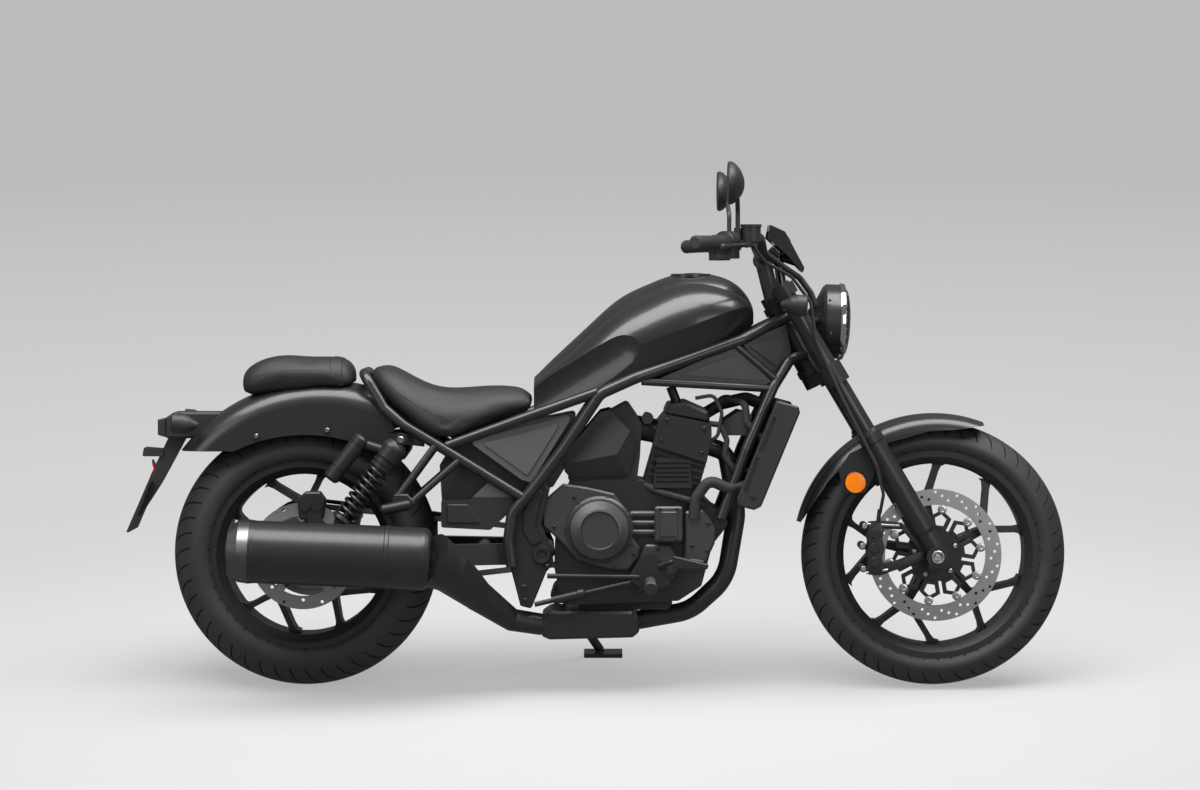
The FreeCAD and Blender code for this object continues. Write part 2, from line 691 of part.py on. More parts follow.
REAR_FENDER_AT = (40.0, 310.0)
REAR_FENDER_R = 431.0
REAR_FENDER_HALF = 108.0
REAR_SHOULDER = 62.0
FENDER_T = 3.0


def fender_line(centre, radius, half, skirt_r, shoulder, drop):
    """The section's corner points and its edges, moved inward by the drop."""
    top = radius - drop
    side = half - drop
    knee = (side - 0.16 * shoulder, top - shoulder * 0.42)
    points = [(-side, skirt_r), (-side, top - shoulder), (-knee[0], knee[1]), (-side + shoulder, top - 7)]
    points += [(0, top), (side - shoulder, top - 7), (knee[0], knee[1]), (side, top - shoulder)]
    points.append((side, skirt_r))
    p = [vec(centre[0], y, centre[1] + z) for y, z in points]
    edges = [Part.LineSegment(p[0], p[1]).toShape()]
    for i in (1, 3, 5):
        edges.append(Part.Arc(p[i], p[i + 1], p[i + 2]).toShape())
    edges.append(Part.LineSegment(p[7], p[8]).toShape())
    return p, edges


def fender_ring(centre, radius, half, skirt_r, shoulder):
    """The half-round sheet of a fender, as a turned wall of one thickness."""
    outer, edges = fender_line(centre, radius, half, skirt_r, shoulder, 0.0)
    inner, inside = fender_line(centre, radius, half, skirt_r, shoulder, FENDER_T)
    edges += inside
    edges.append(Part.LineSegment(outer[0], inner[0]).toShape())
    edges.append(Part.LineSegment(outer[-1], inner[-1]).toShape())
    face = Part.Face(Part.Wire(Part.__sortEdges__(edges)))
    return face.revolve(vec(centre[0], 0, centre[1]), ACROSS, 360)


RAIL_UP = [(-192, 574), (-20, 643), (150, 611)]
RAIL_DOWN = [(150, 584), (-24, 611), (-166, 572)]
FENDER_SKIRT = [(-190, 572), (-22, 630), (148, 598)]


def arc_through(points):
    return Part.Arc(*[vec(x, 0, z) for x, z in points])


def rear_fender():
    edge = [(p.x, p.z) for p in arc_through(FENDER_SKIRT).toShape().discretize(14)]
    keep = edge + [(222, 622), (206, 664), (180, 696), (152, 728), (128, 760), (150, 800), (-420, 800), (-420, 572)]
    ring = fender_ring(REAR_FENDER_AT, REAR_FENDER_R, REAR_FENDER_HALF, 285, REAR_SHOULDER)
    return ring.common(slab(keep, -200, 200))


def fender_plug(gap):
    """The full round inside the rear fender's outside, which what rests on it is cut to."""
    outer, edges = fender_line(REAR_FENDER_AT, REAR_FENDER_R, REAR_FENDER_HALF, 0.0, REAR_SHOULDER, -gap)
    edges.append(Part.LineSegment(outer[-1], outer[0]).toShape())
    face = Part.Face(Part.Wire(Part.__sortEdges__(edges)))
    return face.revolve(vec(REAR_FENDER_AT[0], 0, REAR_FENDER_AT[1]), ACROSS, 360)


def fender_rail():
    """The strut along the fender's lower edge, whose front end bolts to the frame."""
    seat = REAR_FENDER_HALF + SEAT_GAP
    spots = [vec(x, 0, z) for x, z in [RAIL_UP[-1], (232, 618), (292, 606), (292, 584), (236, 590), RAIL_DOWN[0]]]
    edges = [arc_through(RAIL_UP).toShape(), arc_through(RAIL_DOWN).toShape()]
    edges += [Part.LineSegment(a, b).toShape() for a, b in zip(spots, spots[1:])]
    edges.append(Part.LineSegment(vec(RAIL_DOWN[2][0], 0, RAIL_DOWN[2][1]),
                                  vec(RAIL_UP[0][0], 0, RAIL_UP[0][1])).toShape())
    face = Part.Face(Part.Wire(Part.__sortEdges__(edges)))
    face.translate(vec(0, seat, 0))
    rail = face.extrude(vec(0, 6, 0))
    bolts = [across(at, 7, seat + 6, seat + 10) for at in ((-110, 610), (60, 624))]
    return joined([rail, across((276, 599), 10, seat + 6, 128)] + bolts)


def chain_guard():
    """The cover over the chain's upper run, with a tab to the swingarm."""
    hub = (0, REAR_AXLE_Z)
    upper = [polar(hub, 128, a) for a in range(150, 84, -11)] + [(300, 414), (430, 396)]
    lower = [polar(hub, 124, a) for a in range(150, 84, -11)] + [(300, 410), (430, 392)]
    roof = slab(upper + lower[::-1], 97, 121)
    skirt = slab(upper + [(430, 382), (300, 400)] + [polar(hub, 116, a) for a in range(84, 151, 11)], 119, 122)
    tab = slab([(286, 340), (286, 404), (312, 402), (312, 340)], 119, 129)
    return joined([roof, skirt, tab])


def front_fender():
    keep = [(1120, 398), (1196, 398), (1262, 500), (1330, 566), (1392, 588), (1504, 619), (1570, 623)]
    keep += [(1640, 632), (1640, 760), (1120, 760)]
    hub = (FRONT_AXLE.x, FRONT_AXLE.z)
    sheet = fender_ring(hub, FENDER_R, FENDER_HALF, 280, 44).common(slab(keep, -100, 100))
    lower = [(1300, 470), (1286, 524), (1312, 566), (1380, 596), (1396, 570), (1350, 470)]
    ear = rounded_slab(lower, 12, FENDER_HALF - FENDER_T, FENDER_HALF)
    boss = turned([(FENDER_HALF - 1, 0), (FENDER_HALF - 1, 27), (FENDER_HALF + 5, 27), (FENDER_HALF + 7, 25),
                   (FENDER_HALF + 7, 0)], vec(1326, 0, 496))
    return joined([sheet] + pair(ear) + pair(boss))


# Engine

def crankcase():
    outline = [(602, 296), (606, 408), (640, 500), (780, 507), (944, 478), (984, 438), (1010, 425)]
    outline += [(1010, 385), (982, 350), (955, 250), (900, 214), (640, 204), (612, 244)]
    body = rounded_slab(outline, 8, CASE_RIGHT, CASE_LEFT)
    lugs = pair(across(DOWN_TUBE_EYE, 16, 92, 118))
    sump = rounded_slab([(650, 206), (668, 190), (876, 190), (892, 212)], 6, -86, 70)
    return joined([body, sump] + lugs)


def clutch_cover():
    """The round right-hand cover: a stepped rim, a raised ring and a sunk disc."""
    edge = CASE_RIGHT
    profile = [(edge, 0), (edge, CLUTCH_R), (edge - 26, CLUTCH_R), (edge - 32, CLUTCH_R - 6)]
    profile += [(edge - 46, 69), (edge - 55, 51), (edge - 57, 46), (edge - 52, 43), (edge - 52, 0)]
    round_cover = turned(profile, vec(CLUTCH_AT[0], 0, CLUTCH_AT[1]))
    bosses = []
    for i in range(7):
        spot = polar(CLUTCH_AT, CLUTCH_R - 2, 25 + 360.0 / 7 * i)
        bosses.append(across(spot, 8, edge - 23, edge))
    return joined([round_cover] + bosses)


def right_covers():
    edge = CASE_RIGHT
    crank = [(575, 395), (575, 454), (624, 496), (680, 488), (745, 473), (774, 434), (782, 376), (808, 342)]
    crank += [(803, 318), (779, 289), (740, 289), (700, 300), (660, 312), (625, 350), (602, 372)]
    square = [(842, 357), (842, 442), (910, 442), (910, 357)]
    front = [(914, 311), (914, 430), (958, 434), (990, 390), (986, 352), (966, 311)]
    low = [(779, 270), (806, 318), (820, 350), (880, 350), (906, 300), (872, 250), (800, 250)]
    pieces = [cover(crank, 7, edge, edge - 20, 4), cover(square, 8, edge, edge - 28, 4)]
    pieces.append(cover(inset(square, 12), 5, edge - 27, edge - 31, 2))
    pieces.append(cover(front, 8, edge, edge - 20, 5))
    pieces.append(cover(low, 8, edge, edge - 16, 4))
    for i in range(3):
        rib_z = 378 + 22 * i
        pieces.append(rod(vec(786, edge + 2, rib_z), vec(846, edge + 2, rib_z), 9))
    pieces.append(across((868, 300), 21, edge - 34, edge))
    return joined([clutch_cover()] + pieces)


def left_covers():
    edge = CASE_LEFT
    generator = turned([(edge, 0), (edge, 90), (edge + 30, 90), (edge + 38, 82), (edge + 46, 66), (edge + 50, 40),
                        (edge + 50, 0)], vec(858, 0, 372))
    arm = cover([(720, 300), (728, 452), (800, 470), (800, 280)], 8, edge, edge + 20, 4)
    guard = cover([(612, 262), (612, 392), (650, 408), (712, 398), (712, 262), (660, 250)], 8, 124, 136, 4)
    post = slab([(703, 270), (703, 390), (712, 390), (712, 270)], edge, 126)
    return joined([generator, arm]), joined([guard, post])


def cylinder_head():
    """Barrel, finned joint, head, the bevelled cover above it and the louvred duct at its side."""
    half = HEAD_HALF
    barrel = slab([(818, 500), (946, 476), (967, 548), (843, 588)], -half + 6, half - 6)
    bands = []
    for i in range(4):
        low = 0.2 + 0.2 * i
        rear = (818 + 25 * low, 500 + 88 * low)
        front = (946 + 21 * low, 476 + 72 * low)
        bands.append(slab([rear, front, (front[0] + 2.4, front[1] + 6), (rear[0] + 2.4, rear[1] + 6)],
                          -half - 1, half + 1))
    head = slab([(838, 588), (967, 546), (979, 612), (978, 640), (868, 662), (850, 640)], -half - 8, half + 8)
    rim = [(864, 660), (976, 640), (972, 668), (918, 692), (876, 686)]
    top = rounded_slab(rim, 8, -half, half)
    top = top.makeChamfer(7, [e for e in top.Edges if e.BoundBox.YLength < 0.01])
    pieces = [barrel, head, top] + bands
    duct = [(838, 486), (848, 560), (926, 552), (932, 486)]
    pieces.append(rounded_slab(duct, 5, -half - 12, -half + 2))
    slots = []
    for i in range(5):
        z = 498 + 11 * i
        slots.append(slab([(846, z), (846, z + 5), (924, z + 5), (924, z)], -half - 14, -half - 7))
    plugs = [rod(vec(900, y, 680), vec(884, y, 722), 11) for y in (-60, 60)]
    return joined(pieces + plugs).cut(slots)


def airbox_cover():
    """The outer cover, folded along a ridge into an upper and a lower facet."""
    outline = [(626, 526), (636, 575), (712, 666), (736, 672), (800, 606), (802, 588), (778, 514), (640, 510)]
    block = rounded_slab(outline, 9, -136, -100)
    ridge_a = vec(640, -126, 545)
    ridge_b = vec(752, -134, 567)
    upper = shaved(block, ridge_a, ridge_b, vec(726, -110, 660), vec(0, -1, 0))
    lower = shaved(upper, ridge_a, ridge_b, vec(720, -112, 520), vec(0, -1, 0))
    return shaved(lower, ridge_b, vec(800, -112, 600), vec(778, -110, 520), vec(0, -1, 0))


def airbox():
    """The cover between the frame and the engine, with the throttle bodies behind the head."""
    outline = [(634, 500), (642, 568), (714, 655), (778, 690), (812, 640), (808, 560), (800, 498)]
    core = rounded_slab(outline, 10, -100, 100)
    sides = pair(airbox_cover())
    throttles = [rod(vec(790, y, 628), vec(872, y, 612), 27) for y in (-58, 58)]
    rail = rod(vec(826, -96, 652), vec(826, 96, 652), 8)
    cap = across((826, 652), 14, -108, -94)
    return joined([core, rail, cap] + sides + throttles)


def battery_box():
    outline = [(336, 410), (328, 540), (352, 580), (500, 634), (652, 664), (652, 572), (600, 488), (520, 462)]
    outline.append((476, 410))
    return rounded_slab(outline, 8, -112, 112)


RADIATOR = [(1168, 684), (1146, 692), (1060, 470), (1082, 462)]


def radiator():
    """A finned core between two side tanks."""
    low = vec(RADIATOR[3][0], 0, RADIATOR[3][1])
    up = vec(RADIATOR[0][0], 0, RADIATOR[0][1]) - low
    body = slab(RADIATOR, -150, 150)
    front = up.cross(vec(0, 1, 0)).normalize() * -1
    slots = []
    for i in range(16):
        foot = low + up * ((i + 0.8) / 17.4) - front * 4
        rise = up.normalize() * 7
        spots = [foot + vec(0, -138, 0), foot + rise + vec(0, -138, 0), foot + rise + vec(0, 138, 0)]
        slots.append(prism(spots + [foot + vec(0, 138, 0)], front * 8))
    return body.cut(slots)


def radiator_cover():
    outline = [(1132, 696), (1184, 682), (1188, 668), (1096, 444), (1079, 435), (1040, 445), (1038, 462)]
    body = cover(outline, 5, 150, 165, 4)
    slots = []
    for low, high in (((1058, 478), (1088, 560)), ((1096, 576), (1128, 656))):
        slots.append(strip(vec(low[0], 161, low[1]), vec(high[0], 161, high[1]), vec(0, 6, 0), 9))
    screw = across((1076, 462), 6, 162, 168)
    return body.cut(slots + [screw])


def coolant_hoses():
    """The thick elbow on the right, the top hose and the thinner pipes between the engine and the radiator."""
    right = [(1074, -114, 492), (1018, -128, 485), (972, -130, 506), (940, -130, 460), (936, -130, 412)]
    top = [(1136, 96, 668), (1070, 92, 694), (1010, 84, 680), (962, 76, 652)]
    pipes = [bent_tube(right, 13.5, [26, 24, 24]), bent_tube(top, 15, [30, 30])]
    thin = [[(960, -100, 640), (1000, -104, 636), (1016, -106, 600), (1010, -106, 560), (1040, -104, 520),
             (1090, -104, 530)],
            [(968, -40, 655), (1010, -60, 700), (1060, -88, 690), (1064, -96, 640), (1100, -100, 600)],
            [(940, -110, 700), (985, -112, 708), (1004, -112, 664), (994, -112, 610), (960, -110, 585)],
            [(806, -98, 500), (850, -122, 478), (920, -124, 458), (960, -116, 446)]]
    for run, radius, bend in zip(thin, (7.0, 9.0, 4.5, 8.0), (16, 24, 18, 30)):
        pipes.append(bent_tube(run, radius, bend))
    block = rounded_slab([(1008, 610), (1010, 644), (1046, 668), (1078, 660), (1062, 610)], 6, -96, 96)
    return pipes + [block]


def exhaust_headers():
    """Two pipes from the front of the head, down before the crankcase and back into the collector."""
    runs = []
    for ports in ((-62, -72, -78, -72), (56, 44, 8, -14)):
        port, front, low, back = ports
        runs.append([(946, port, 590), (1018, port, 566), (1043, front, 420), (1016, low, 262), (930, back, 184),
                     (796, back, 160)])
    return [bent_tube(run, HEADER_R, [38, 110, 120, 110]) for run in runs]


def collector():
    outline = [(572, 130), (572, 176), (592, 190), (790, 190), (806, 176), (806, 140), (790, 127), (592, 122)]
    body = rounded_slab(outline, 10, -128, 70)
    return body.makeChamfer(6, [e for e in body.Edges if e.BoundBox.YLength < 0.01])


LINK_ROUTE = [(574, -100, 156, 26), (500, -106, 168, 27), (420, -160, 232, 38), (352, -218, 300, 56),
              (312, MUFFLER_Y, MUFFLER_FRONT[1], 66)]


def link_pipe():
    """The widening pipe from the collector up to the muffler's front."""
    pieces = []
    for (x0, y0, z0, r0), (x1, y1, z1, r1) in zip(LINK_ROUTE, LINK_ROUTE[1:]):
        pieces.append(cone(vec(x0, y0, z0), vec(x1, y1, z1), r0, r1))
    for x, y, z, r in LINK_ROUTE[1:-1]:
        pieces.append(Part.makeSphere(r, vec(x, y, z)))
    return joined(pieces)


def muffler():
    """The can with its rounded front, a pressed seam and the bright end cap with its outlet."""
    start = vec(MUFFLER_FRONT[0], MUFFLER_Y, MUFFLER_FRONT[1])
    end = vec(MUFFLER_REAR[0], MUFFLER_Y, MUFFLER_REAR[1])
    long = start.distanceToPoint(end)
    seam = long - MUFFLER_CAP
    r = MUFFLER_R
    can = [(0, 0), (0, r - 12), (4, r - 6), (12, r - 1), (20, r), (96, r), (98, r + 1.6), (106, r + 1.6)]
    can += [(108, r), (seam - 10, r), (seam - 8, r + 1), (seam, r + 1), (seam, 0)]
    cap = [(seam, 0), (seam, r + 2), (seam + 26, r - 1), (long, r - 14), (long, r - 22), (seam + 10, r - 24)]
    cap += [(seam + 10, 34), (long - 6, 34), (long - 6, 30), (seam + 6, 30), (seam + 6, 0)]
    return turned_along(start, end - start, can), turned_along(start, end - start, cap)


# Rear suspension and chassis fittings

SHOCK_TOP = (238.0, 603.0)
SHOCK_LOW = (78.0, 380.0)
SHOCK_Y = 151.0
SPRING_R = 28.0
SPRING_TURNS = 8


def shock_point(share, y=SHOCK_Y):
    return vec(SHOCK_TOP[0] + (SHOCK_LOW[0] - SHOCK_TOP[0]) * share, y,
               SHOCK_TOP[1] + (SHOCK_LOW[1] - SHOCK_TOP[1]) * share)


def shock():
    eyes = [across(SHOCK_TOP, 15, SHOCK_Y - 14, SHOCK_Y + 14)]
    eyes.append(across(SHOCK_LOW, 14, SHOCK_Y - 11, SHOCK_Y + 14))
    way = shock_point(1) - shock_point(0)
    body = turned_along(shock_point(0), way, [(10, 0), (10, 20), (20, 28), (26, 30), (56, 30), (60, 26), (66, 26),
                                              (67, 29), (71, 29), (72, 26), (75, 26), (76, 29), (84, 29), (86, 20),
                                              (100, 20), (100, 9), (228, 9), (228, 27), (236, 29), (244, 20),
                                              (262, 12), (262, 0)])
    tank = turned_along(vec(148, SHOCK_Y + 2, 609), vec(-0.617, 0, -0.787),
                        [(0, 0), (0, 15), (5, 20), (20, 20), (21, 18.5), (26, 18.5), (27, 20), (92, 20), (93, 18.5),
                         (96, 18.5), (97, 20), (122, 20), (129, 15), (129, 0)])
    neck = rod(vec(138, SHOCK_Y + 2, 596), shock_point(0.14), 11)
    return joined(eyes + [body, tank, neck])


def shock_spring():
    """The coils, drawn as ribs round the damper."""
    way = shock_point(1) - shock_point(0)
    start, end = 86.3, 227.7
    step = (end - start) / SPRING_TURNS
    profile = [(start, 22.5)]
    for i in range(SPRING_TURNS):
        at = start + step * i
        profile += [(at + 0.05 * step, 23), (at + 0.25 * step, SPRING_R), (at + 0.5 * step, SPRING_R),
                    (at + 0.7 * step, 23)]
    profile += [(end, 22.5), (end, 20.5), (start, 20.5)]
    return turned_along(shock_point(0), way, profile)


def caliper_slot(y, disc_r, centre, low_r):
    return turned([(y - PAD_ROOM, low_r), (y + PAD_ROOM, low_r), (y + PAD_ROOM, disc_r + 6),
                   (y - PAD_ROOM, disc_r + 6)], centre)


def rear_caliper():
    outline = [(-8, 410), (50, 410), (56, 456), (42, 476), (6, 476), (-12, 458)]
    body = joined([cover(outline, 8, -104, -126, 4), rounded_slab(outline, 8, -104, -84)])
    stay = slab([(14, 340), (46, 340), (46, 430), (14, 430)], -128, -118)
    pistons = [across(spot, 12, -130, -124) for spot in ((6, 442), (34, 442))]
    return joined([body, stay] + pistons).cut(caliper_slot(REAR_DISC_Y, REAR_DISC_R, REAR_AXLE, 60))


def front_caliper():
    outline = [(1338, 268), (1338, 408), (1384, 430), (1412, 396), (1412, 285), (1380, 262)]
    body = joined([cover(outline, 10, -68, -98, 5), rounded_slab(outline, 10, -68, -40)])
    lugs = slab([(1404, 318), (1492, 330), (1492, 356), (1404, 392)], -96, -80)
    pistons = [across(spot, 17, -102, -96) for spot in ((1372, 306), (1368, 350), (1372, 392))]
    window = rounded_slab([(1386, 322), (1386, 376), (1402, 372), (1402, 326)], 4, -104, -30)
    body = joined([body, lugs] + pistons)
    return body.cut([caliper_slot(FRONT_DISC_Y, FRONT_DISC_R, FRONT_AXLE, 90), window])


def tail_lamp():
    outline = [(-338, 601), (-338, 650), (-316, 664), (-200, 664), (-224, 600)]
    body = rounded_slab(outline, 6, -42, 42)
    body = body.makeChamfer(5, [e for e in body.Edges if e.BoundBox.YLength < 0.01])
    lens = rounded_slab([(-356, 609), (-356, 646), (-338, 648), (-338, 603)], 2, -40, 40)
    lens = lens.makeChamfer(1.5, [e for e in lens.Edges if e.BoundBox.YLength < 0.01])
    return body, lens


def indicator(front, rear, y):
    """A small lamp with a flat lens at one end and a pointed back."""
    start = vec(front[0], y, front[1])
    r = INDICATOR_R
    profile = [(0, 0), (0, r - 4), (2, r - 2), (3, r), (24, r), (40, r - 5), (54, r - 14), (62, 7), (64, 4), (64, 0)]
    return turned_along(start, vec(rear[0], y, rear[1]) - start, profile)


def plate_holder():
    arm = slab([(-292, 600), (-334, 600), (-376, 512), (-414, 420), (-404, 410), (-352, 490), (-330, 530)], -16, 16)
    plate = slab([(-370, 496), (-422, 376), (-426, 378), (-374, 498)], -88, 88)
    lamp = rounded_slab([(-396, 556), (-392, 578), (-345, 574), (-345, 556)], 4, -22, 22)
    return joined([arm, plate, lamp])


SIDE_PANEL = [(398, 598), (650, 664), (548, 500), (526, 506)]
LOWER_COVER = [(333, 392), (333, 458), (400, 458), (452, 506), (506, 468), (498, 430), (450, 386)]
BIG_INFILL = [(850, 746), (1035, 824), (1122, 740), (1100, 726)]
BIG_INFILL_FACE = [(906, 756), (1030, 802), (1040, 794), (1108, 742)]
SMALL_INFILL = [(1052, 832), (1160, 876), (1172, 812), (1140, 754), (1110, 764)]
SMALL_INFILL_FACE = [(1070, 824), (1136, 846), (1150, 834), (1150, 812), (1136, 776)]
BIG_INFILL_TOE = ((850.0, 124.0), (1122.0, 84.0))
SMALL_INFILL_TOE = ((1052.0, 92.0), (1172.0, 48.0))


def side_panels(tubes):
    """Painted triangle, lower cover and the two infills that close the frame's triangles."""
    raised = cover(inset(SIDE_PANEL, 14), 5, PLATE_OUT - 1, PLATE_OUT + 4, 2.5)
    triangle = joined([rounded_slab(SIDE_PANEL, 8, 132, PLATE_OUT), raised])
    lower_face = cover([(346, 402), (346, 448), (396, 448), (430, 402)], 5, 139, 144, 2.5)
    lower = joined([rounded_slab(LOWER_COVER, 6, 128, 140), lower_face])
    panels = [triangle, lower]
    infills = ((BIG_INFILL, BIG_INFILL_FACE, BIG_INFILL_TOE), (SMALL_INFILL, SMALL_INFILL_FACE, SMALL_INFILL_TOE))
    for outline, face, toe in infills:
        backing = toed_slab(outline, *toe, 6)
        front = toed_slab(face, *toe, 11)
        panels.append(joined([backing, front]))
    kept = []
    for panel in panels:
        for side in pair(panel):
            kept += largest(cope([side], tubes))
    return kept


# Foot controls and side stand

STAND_PIVOT = (610.0, 158.0, 214.0)
STAND_FOOT = (712.0, 262.0, 56.0)
STAND_FOOT_T = 10.0
STAND_EYE_HALF = 13.0
STAND_PIN_R = 6.0
STAND_ROOT = (664.0, 84.0, 246.0)
STAND_DOWN = (vec(*STAND_FOOT) - vec(*STAND_PIVOT)).normalize()
STAND_UP = vec(-0.975, 0.17, 0.10).normalize()
STAND_AXIS = STAND_DOWN.cross(STAND_UP).normalize()


def stand_leg():
    """The leg, its hinge eye and the flat foot that lies on the sloping floor."""
    hinge = vec(*STAND_PIVOT)
    foot = vec(*STAND_FOOT)
    leg = rod(hinge, foot, 11)
    eye = rod(hinge - STAND_AXIS * STAND_EYE_HALF, hinge + STAND_AXIS * STAND_EYE_HALF, 18)
    floor_z = foot.y * math.tan(math.radians(LEAN_DEG))
    plate = Part.makeBox(96, 52, STAND_FOOT_T, vec(foot.x - 40, foot.y - 26, floor_z))
    plate.rotate(vec(foot.x, foot.y, floor_z), vec(1, 0, 0), LEAN_DEG)
    ankle = rod(foot, vec(foot.x, foot.y, floor_z + STAND_FOOT_T / 2), 11)
    pin = rod(hinge - STAND_AXIS * 30, hinge + STAND_AXIS * 30, STAND_PIN_R + FIT)
    return joined([leg, eye, plate, ankle]).cut(pin)


def stand_bracket():
    """Two ears and their pin, carried by an arm from the engine."""
    hinge = vec(*STAND_PIVOT)
    away = (STAND_DOWN + STAND_UP).normalize() * -1
    reach = STAND_AXIS * (STAND_EYE_HALF + 7)
    pieces = []
    for side in (-1, 1):
        inner = hinge + STAND_AXIS * side * (STAND_EYE_HALF + FIT)
        outer = hinge + reach * side
        pieces += [rod(inner, outer, 17), rod(inner + away * 26, outer + away * 26, 12)]
        pieces.append(strip(inner, inner + away * 26, outer - inner, 22))
    pieces.append(rod(hinge + away * 29 - reach, hinge + away * 29 + reach, 8))
    pieces.append(rod(hinge - reach, hinge + reach, STAND_PIN_R))
    pieces.append(rod(hinge + away * 29, vec(*STAND_ROOT), 12))
    return joined(pieces)


def peg_profile():
    """A ribbed rubber peg, as (distance, radius) points from its root."""
    long = PEG_REACH - 176.0
    ribs = 6
    step = (long - 30) / ribs
    profile = [(0, 0), (0, 12), (14, 12), (16, 17)]
    for i in range(ribs):
        at = 18 + step * i
        profile += [(at + step * 0.5, 17), (at + step * 0.6, 15), (at + step * 0.85, 15), (at + step * 0.95, 17)]
    return profile + [(long - 3, 17), (long, 14), (long, 0)]


def foot_peg():
    rail = rod(vec(586, -150, 277), vec(846, -151, 274), 6)
    casting = rounded_slab([(806, 240), (806, 322), (840, 330), (872, 300), (868, 250)], 8, -160, -142)
    boss = rod(vec(PEG_X, -150, PEG_Z), vec(PEG_X, -176, PEG_Z), 16)
    peg = turned_along(vec(PEG_X, -176, PEG_Z), vec(0, -1, 0), peg_profile())
    return joined([rail, casting, boss, peg])


def brake_pedal():
    arm = bent_tube([(852, -158, 300), (880, -172, 312), (930, -184, 316), (958, -190, 312)], 6.5, 18)
    toe = cover([(884, 300), (884, 330), (970, 309), (966, 298)], 4, -182, -214, 2)
    rod_link = rod(vec(556, -142, 208), vec(786, -150, 262), 6)
    cylinder = turned_along(vec(600, -143, 218), vec(0.97, -0.03, 0.23),
                            [(0, 0), (0, 11), (60, 11), (62, 13), (76, 13), (80, 8), (80, 0)])
    return [arm, toe, rod_link, cylinder]


def gear_pedal():
    arm = bent_tube([(852, 158, 300), (884, 170, 314), (940, 178, 322), (962, 182, 322)], 6, 18)
    toe = rod(vec(960, 176, 322), vec(960, 216, 322), 9)
    return [arm, toe]


def pillion_pegs():
    """Two tubes from the seat loop to a small folding peg, on each side."""
    front = rod(vec(380, 142, 556), vec(262, 168, 452), 8.5)
    rear = rod(vec(322, 136, 592), vec(228, 168, 464), 8.5)
    lug = cover([(214, 440), (222, 474), (254, 474), (276, 452), (262, 438)], 6, 160, 176, 3)
    peg = turned_along(vec(262, 182, 450), vec(-1, 0, -0.2), [(0, 0), (0, 10), (4, 13), (66, 13), (72, 9), (72, 0)])
    return joined([front, rear, lug, peg])


# Steering

def lower_yoke():
    low = HEAD_LOW - FIT - YOKE_THICK
    pieces = [rod(steer_point(low), steer_point(low + YOKE_THICK), 32)]
    web = [(-22, -60), (10, -FORK_HALF), (50, -FORK_HALF), (50, FORK_HALF), (10, FORK_HALF), (-22, 60)]
    pieces.append(steer_slab(web, low + 3, low + YOKE_THICK - 3))
    for side in (-1, 1):
        clamp = fork_point(757, side * FORK_HALF)
        pieces.append(rod(clamp - FORK_AXIS * 25, clamp + FORK_AXIS * 25, FORK_TUBE_R + 9))
    pieces.append(rod(steer_point(low), steer_point(HEAD_HIGH), STEM_R))
    return joined(pieces)


FORK_AXIS = vec(-math.sin(math.radians(FORK_DEG)), 0, math.cos(math.radians(FORK_DEG)))
BAR_POINTS = [(1106, 0, 1030), (1106, 60, 1030), (1090, 170, 1084), (1006, 290, 1070),
              (936, BAR_HALF, BAR_END_Z)]
RISER_Y = 50.0


def upper_yoke():
    low = HEAD_HIGH + FIT
    thick = YOKE_THICK - 6
    pieces = [rod(steer_point(low), steer_point(low + thick), 30)]
    web = [(-20, -56), (8, -FORK_HALF), (44, -FORK_HALF), (44, FORK_HALF), (8, FORK_HALF), (-20, 56)]
    pieces.append(steer_slab(web, low + 3, low + thick - 3))
    for side in (-1, 1):
        clamp = fork_point(955, side * FORK_HALF)
        pieces.append(rod(clamp - FORK_AXIS * 14, clamp + FORK_AXIS * 14, FORK_TUBE_R + 8))
    nut = steer_point(low + thick)
    pieces.append(rod(nut, nut + STEER_UP * 8, 17))
    bar = BAR_POINTS[0]
    foot = steer_point(low + thick - 6, -2)
    for side in (-RISER_Y, RISER_Y):
        pieces.append(rod(vec(foot.x, side, foot.z), vec(bar[0], side, bar[2]), 17))
        pieces.append(across((bar[0], bar[2]), 21, side - 16, side + 16))
    return joined(pieces)


def fork_tube():
    return rod(fork_point(600.0, FORK_HALF), fork_point(FORK_TOP_Z, FORK_HALF), FORK_TUBE_R)


def fork_slider():
    """The lower leg with its seal collar, the axle clamp and the fender boss."""
    low = fork_point(FRONT_AXLE_Z + 4, FORK_HALF)
    top = fork_point(SLIDER_TOP_Z, FORK_HALF)
    long = low.distanceToPoint(top)
    leg = turned_along(low, top - low, [(0, 0), (0, SLIDER_R - 3), (60, SLIDER_R - 3), (70, SLIDER_R),
                                        (long - 34, SLIDER_R), (long - 32, SLIDER_R + 3), (long - 10, SLIDER_R + 3),
                                        (long - 8, SLIDER_R - 1), (long, SLIDER_R - 3), (long, 0)])
    axle_boss = across((FRONT_AXLE.x, FRONT_AXLE.z), 26, FORK_HALF - 29, FORK_HALF + 29)
    foot = rounded_slab([(WHEELBASE - 22, FRONT_AXLE_Z - 30), (WHEELBASE + 22, FRONT_AXLE_Z - 30),
                         (WHEELBASE + 22, FRONT_AXLE_Z), (WHEELBASE - 22, FRONT_AXLE_Z)], 5,
                        FORK_HALF - 22, FORK_HALF + 22)
    mount = across(fork_at(575), 8, FENDER_HALF - 1, FORK_HALF - 8)
    bore = across((FRONT_AXLE.x, FRONT_AXLE.z), AXLE_R, 60, 150)
    return joined([leg, axle_boss, foot, mount]).cut(bore)


def handlebar():
    far = [(x, -y, z) for x, y, z in reversed(BAR_POINTS[1:])]
    return bent_tube(far + BAR_POINTS[1:], BAR_R, 45)


GRIP_END = vec(*BAR_POINTS[-1])
GRIP_WAY = (vec(*BAR_POINTS[-2]) - GRIP_END).normalize()
LEVER_WAY = vec(-GRIP_WAY.y, GRIP_WAY.x, 0).normalize()


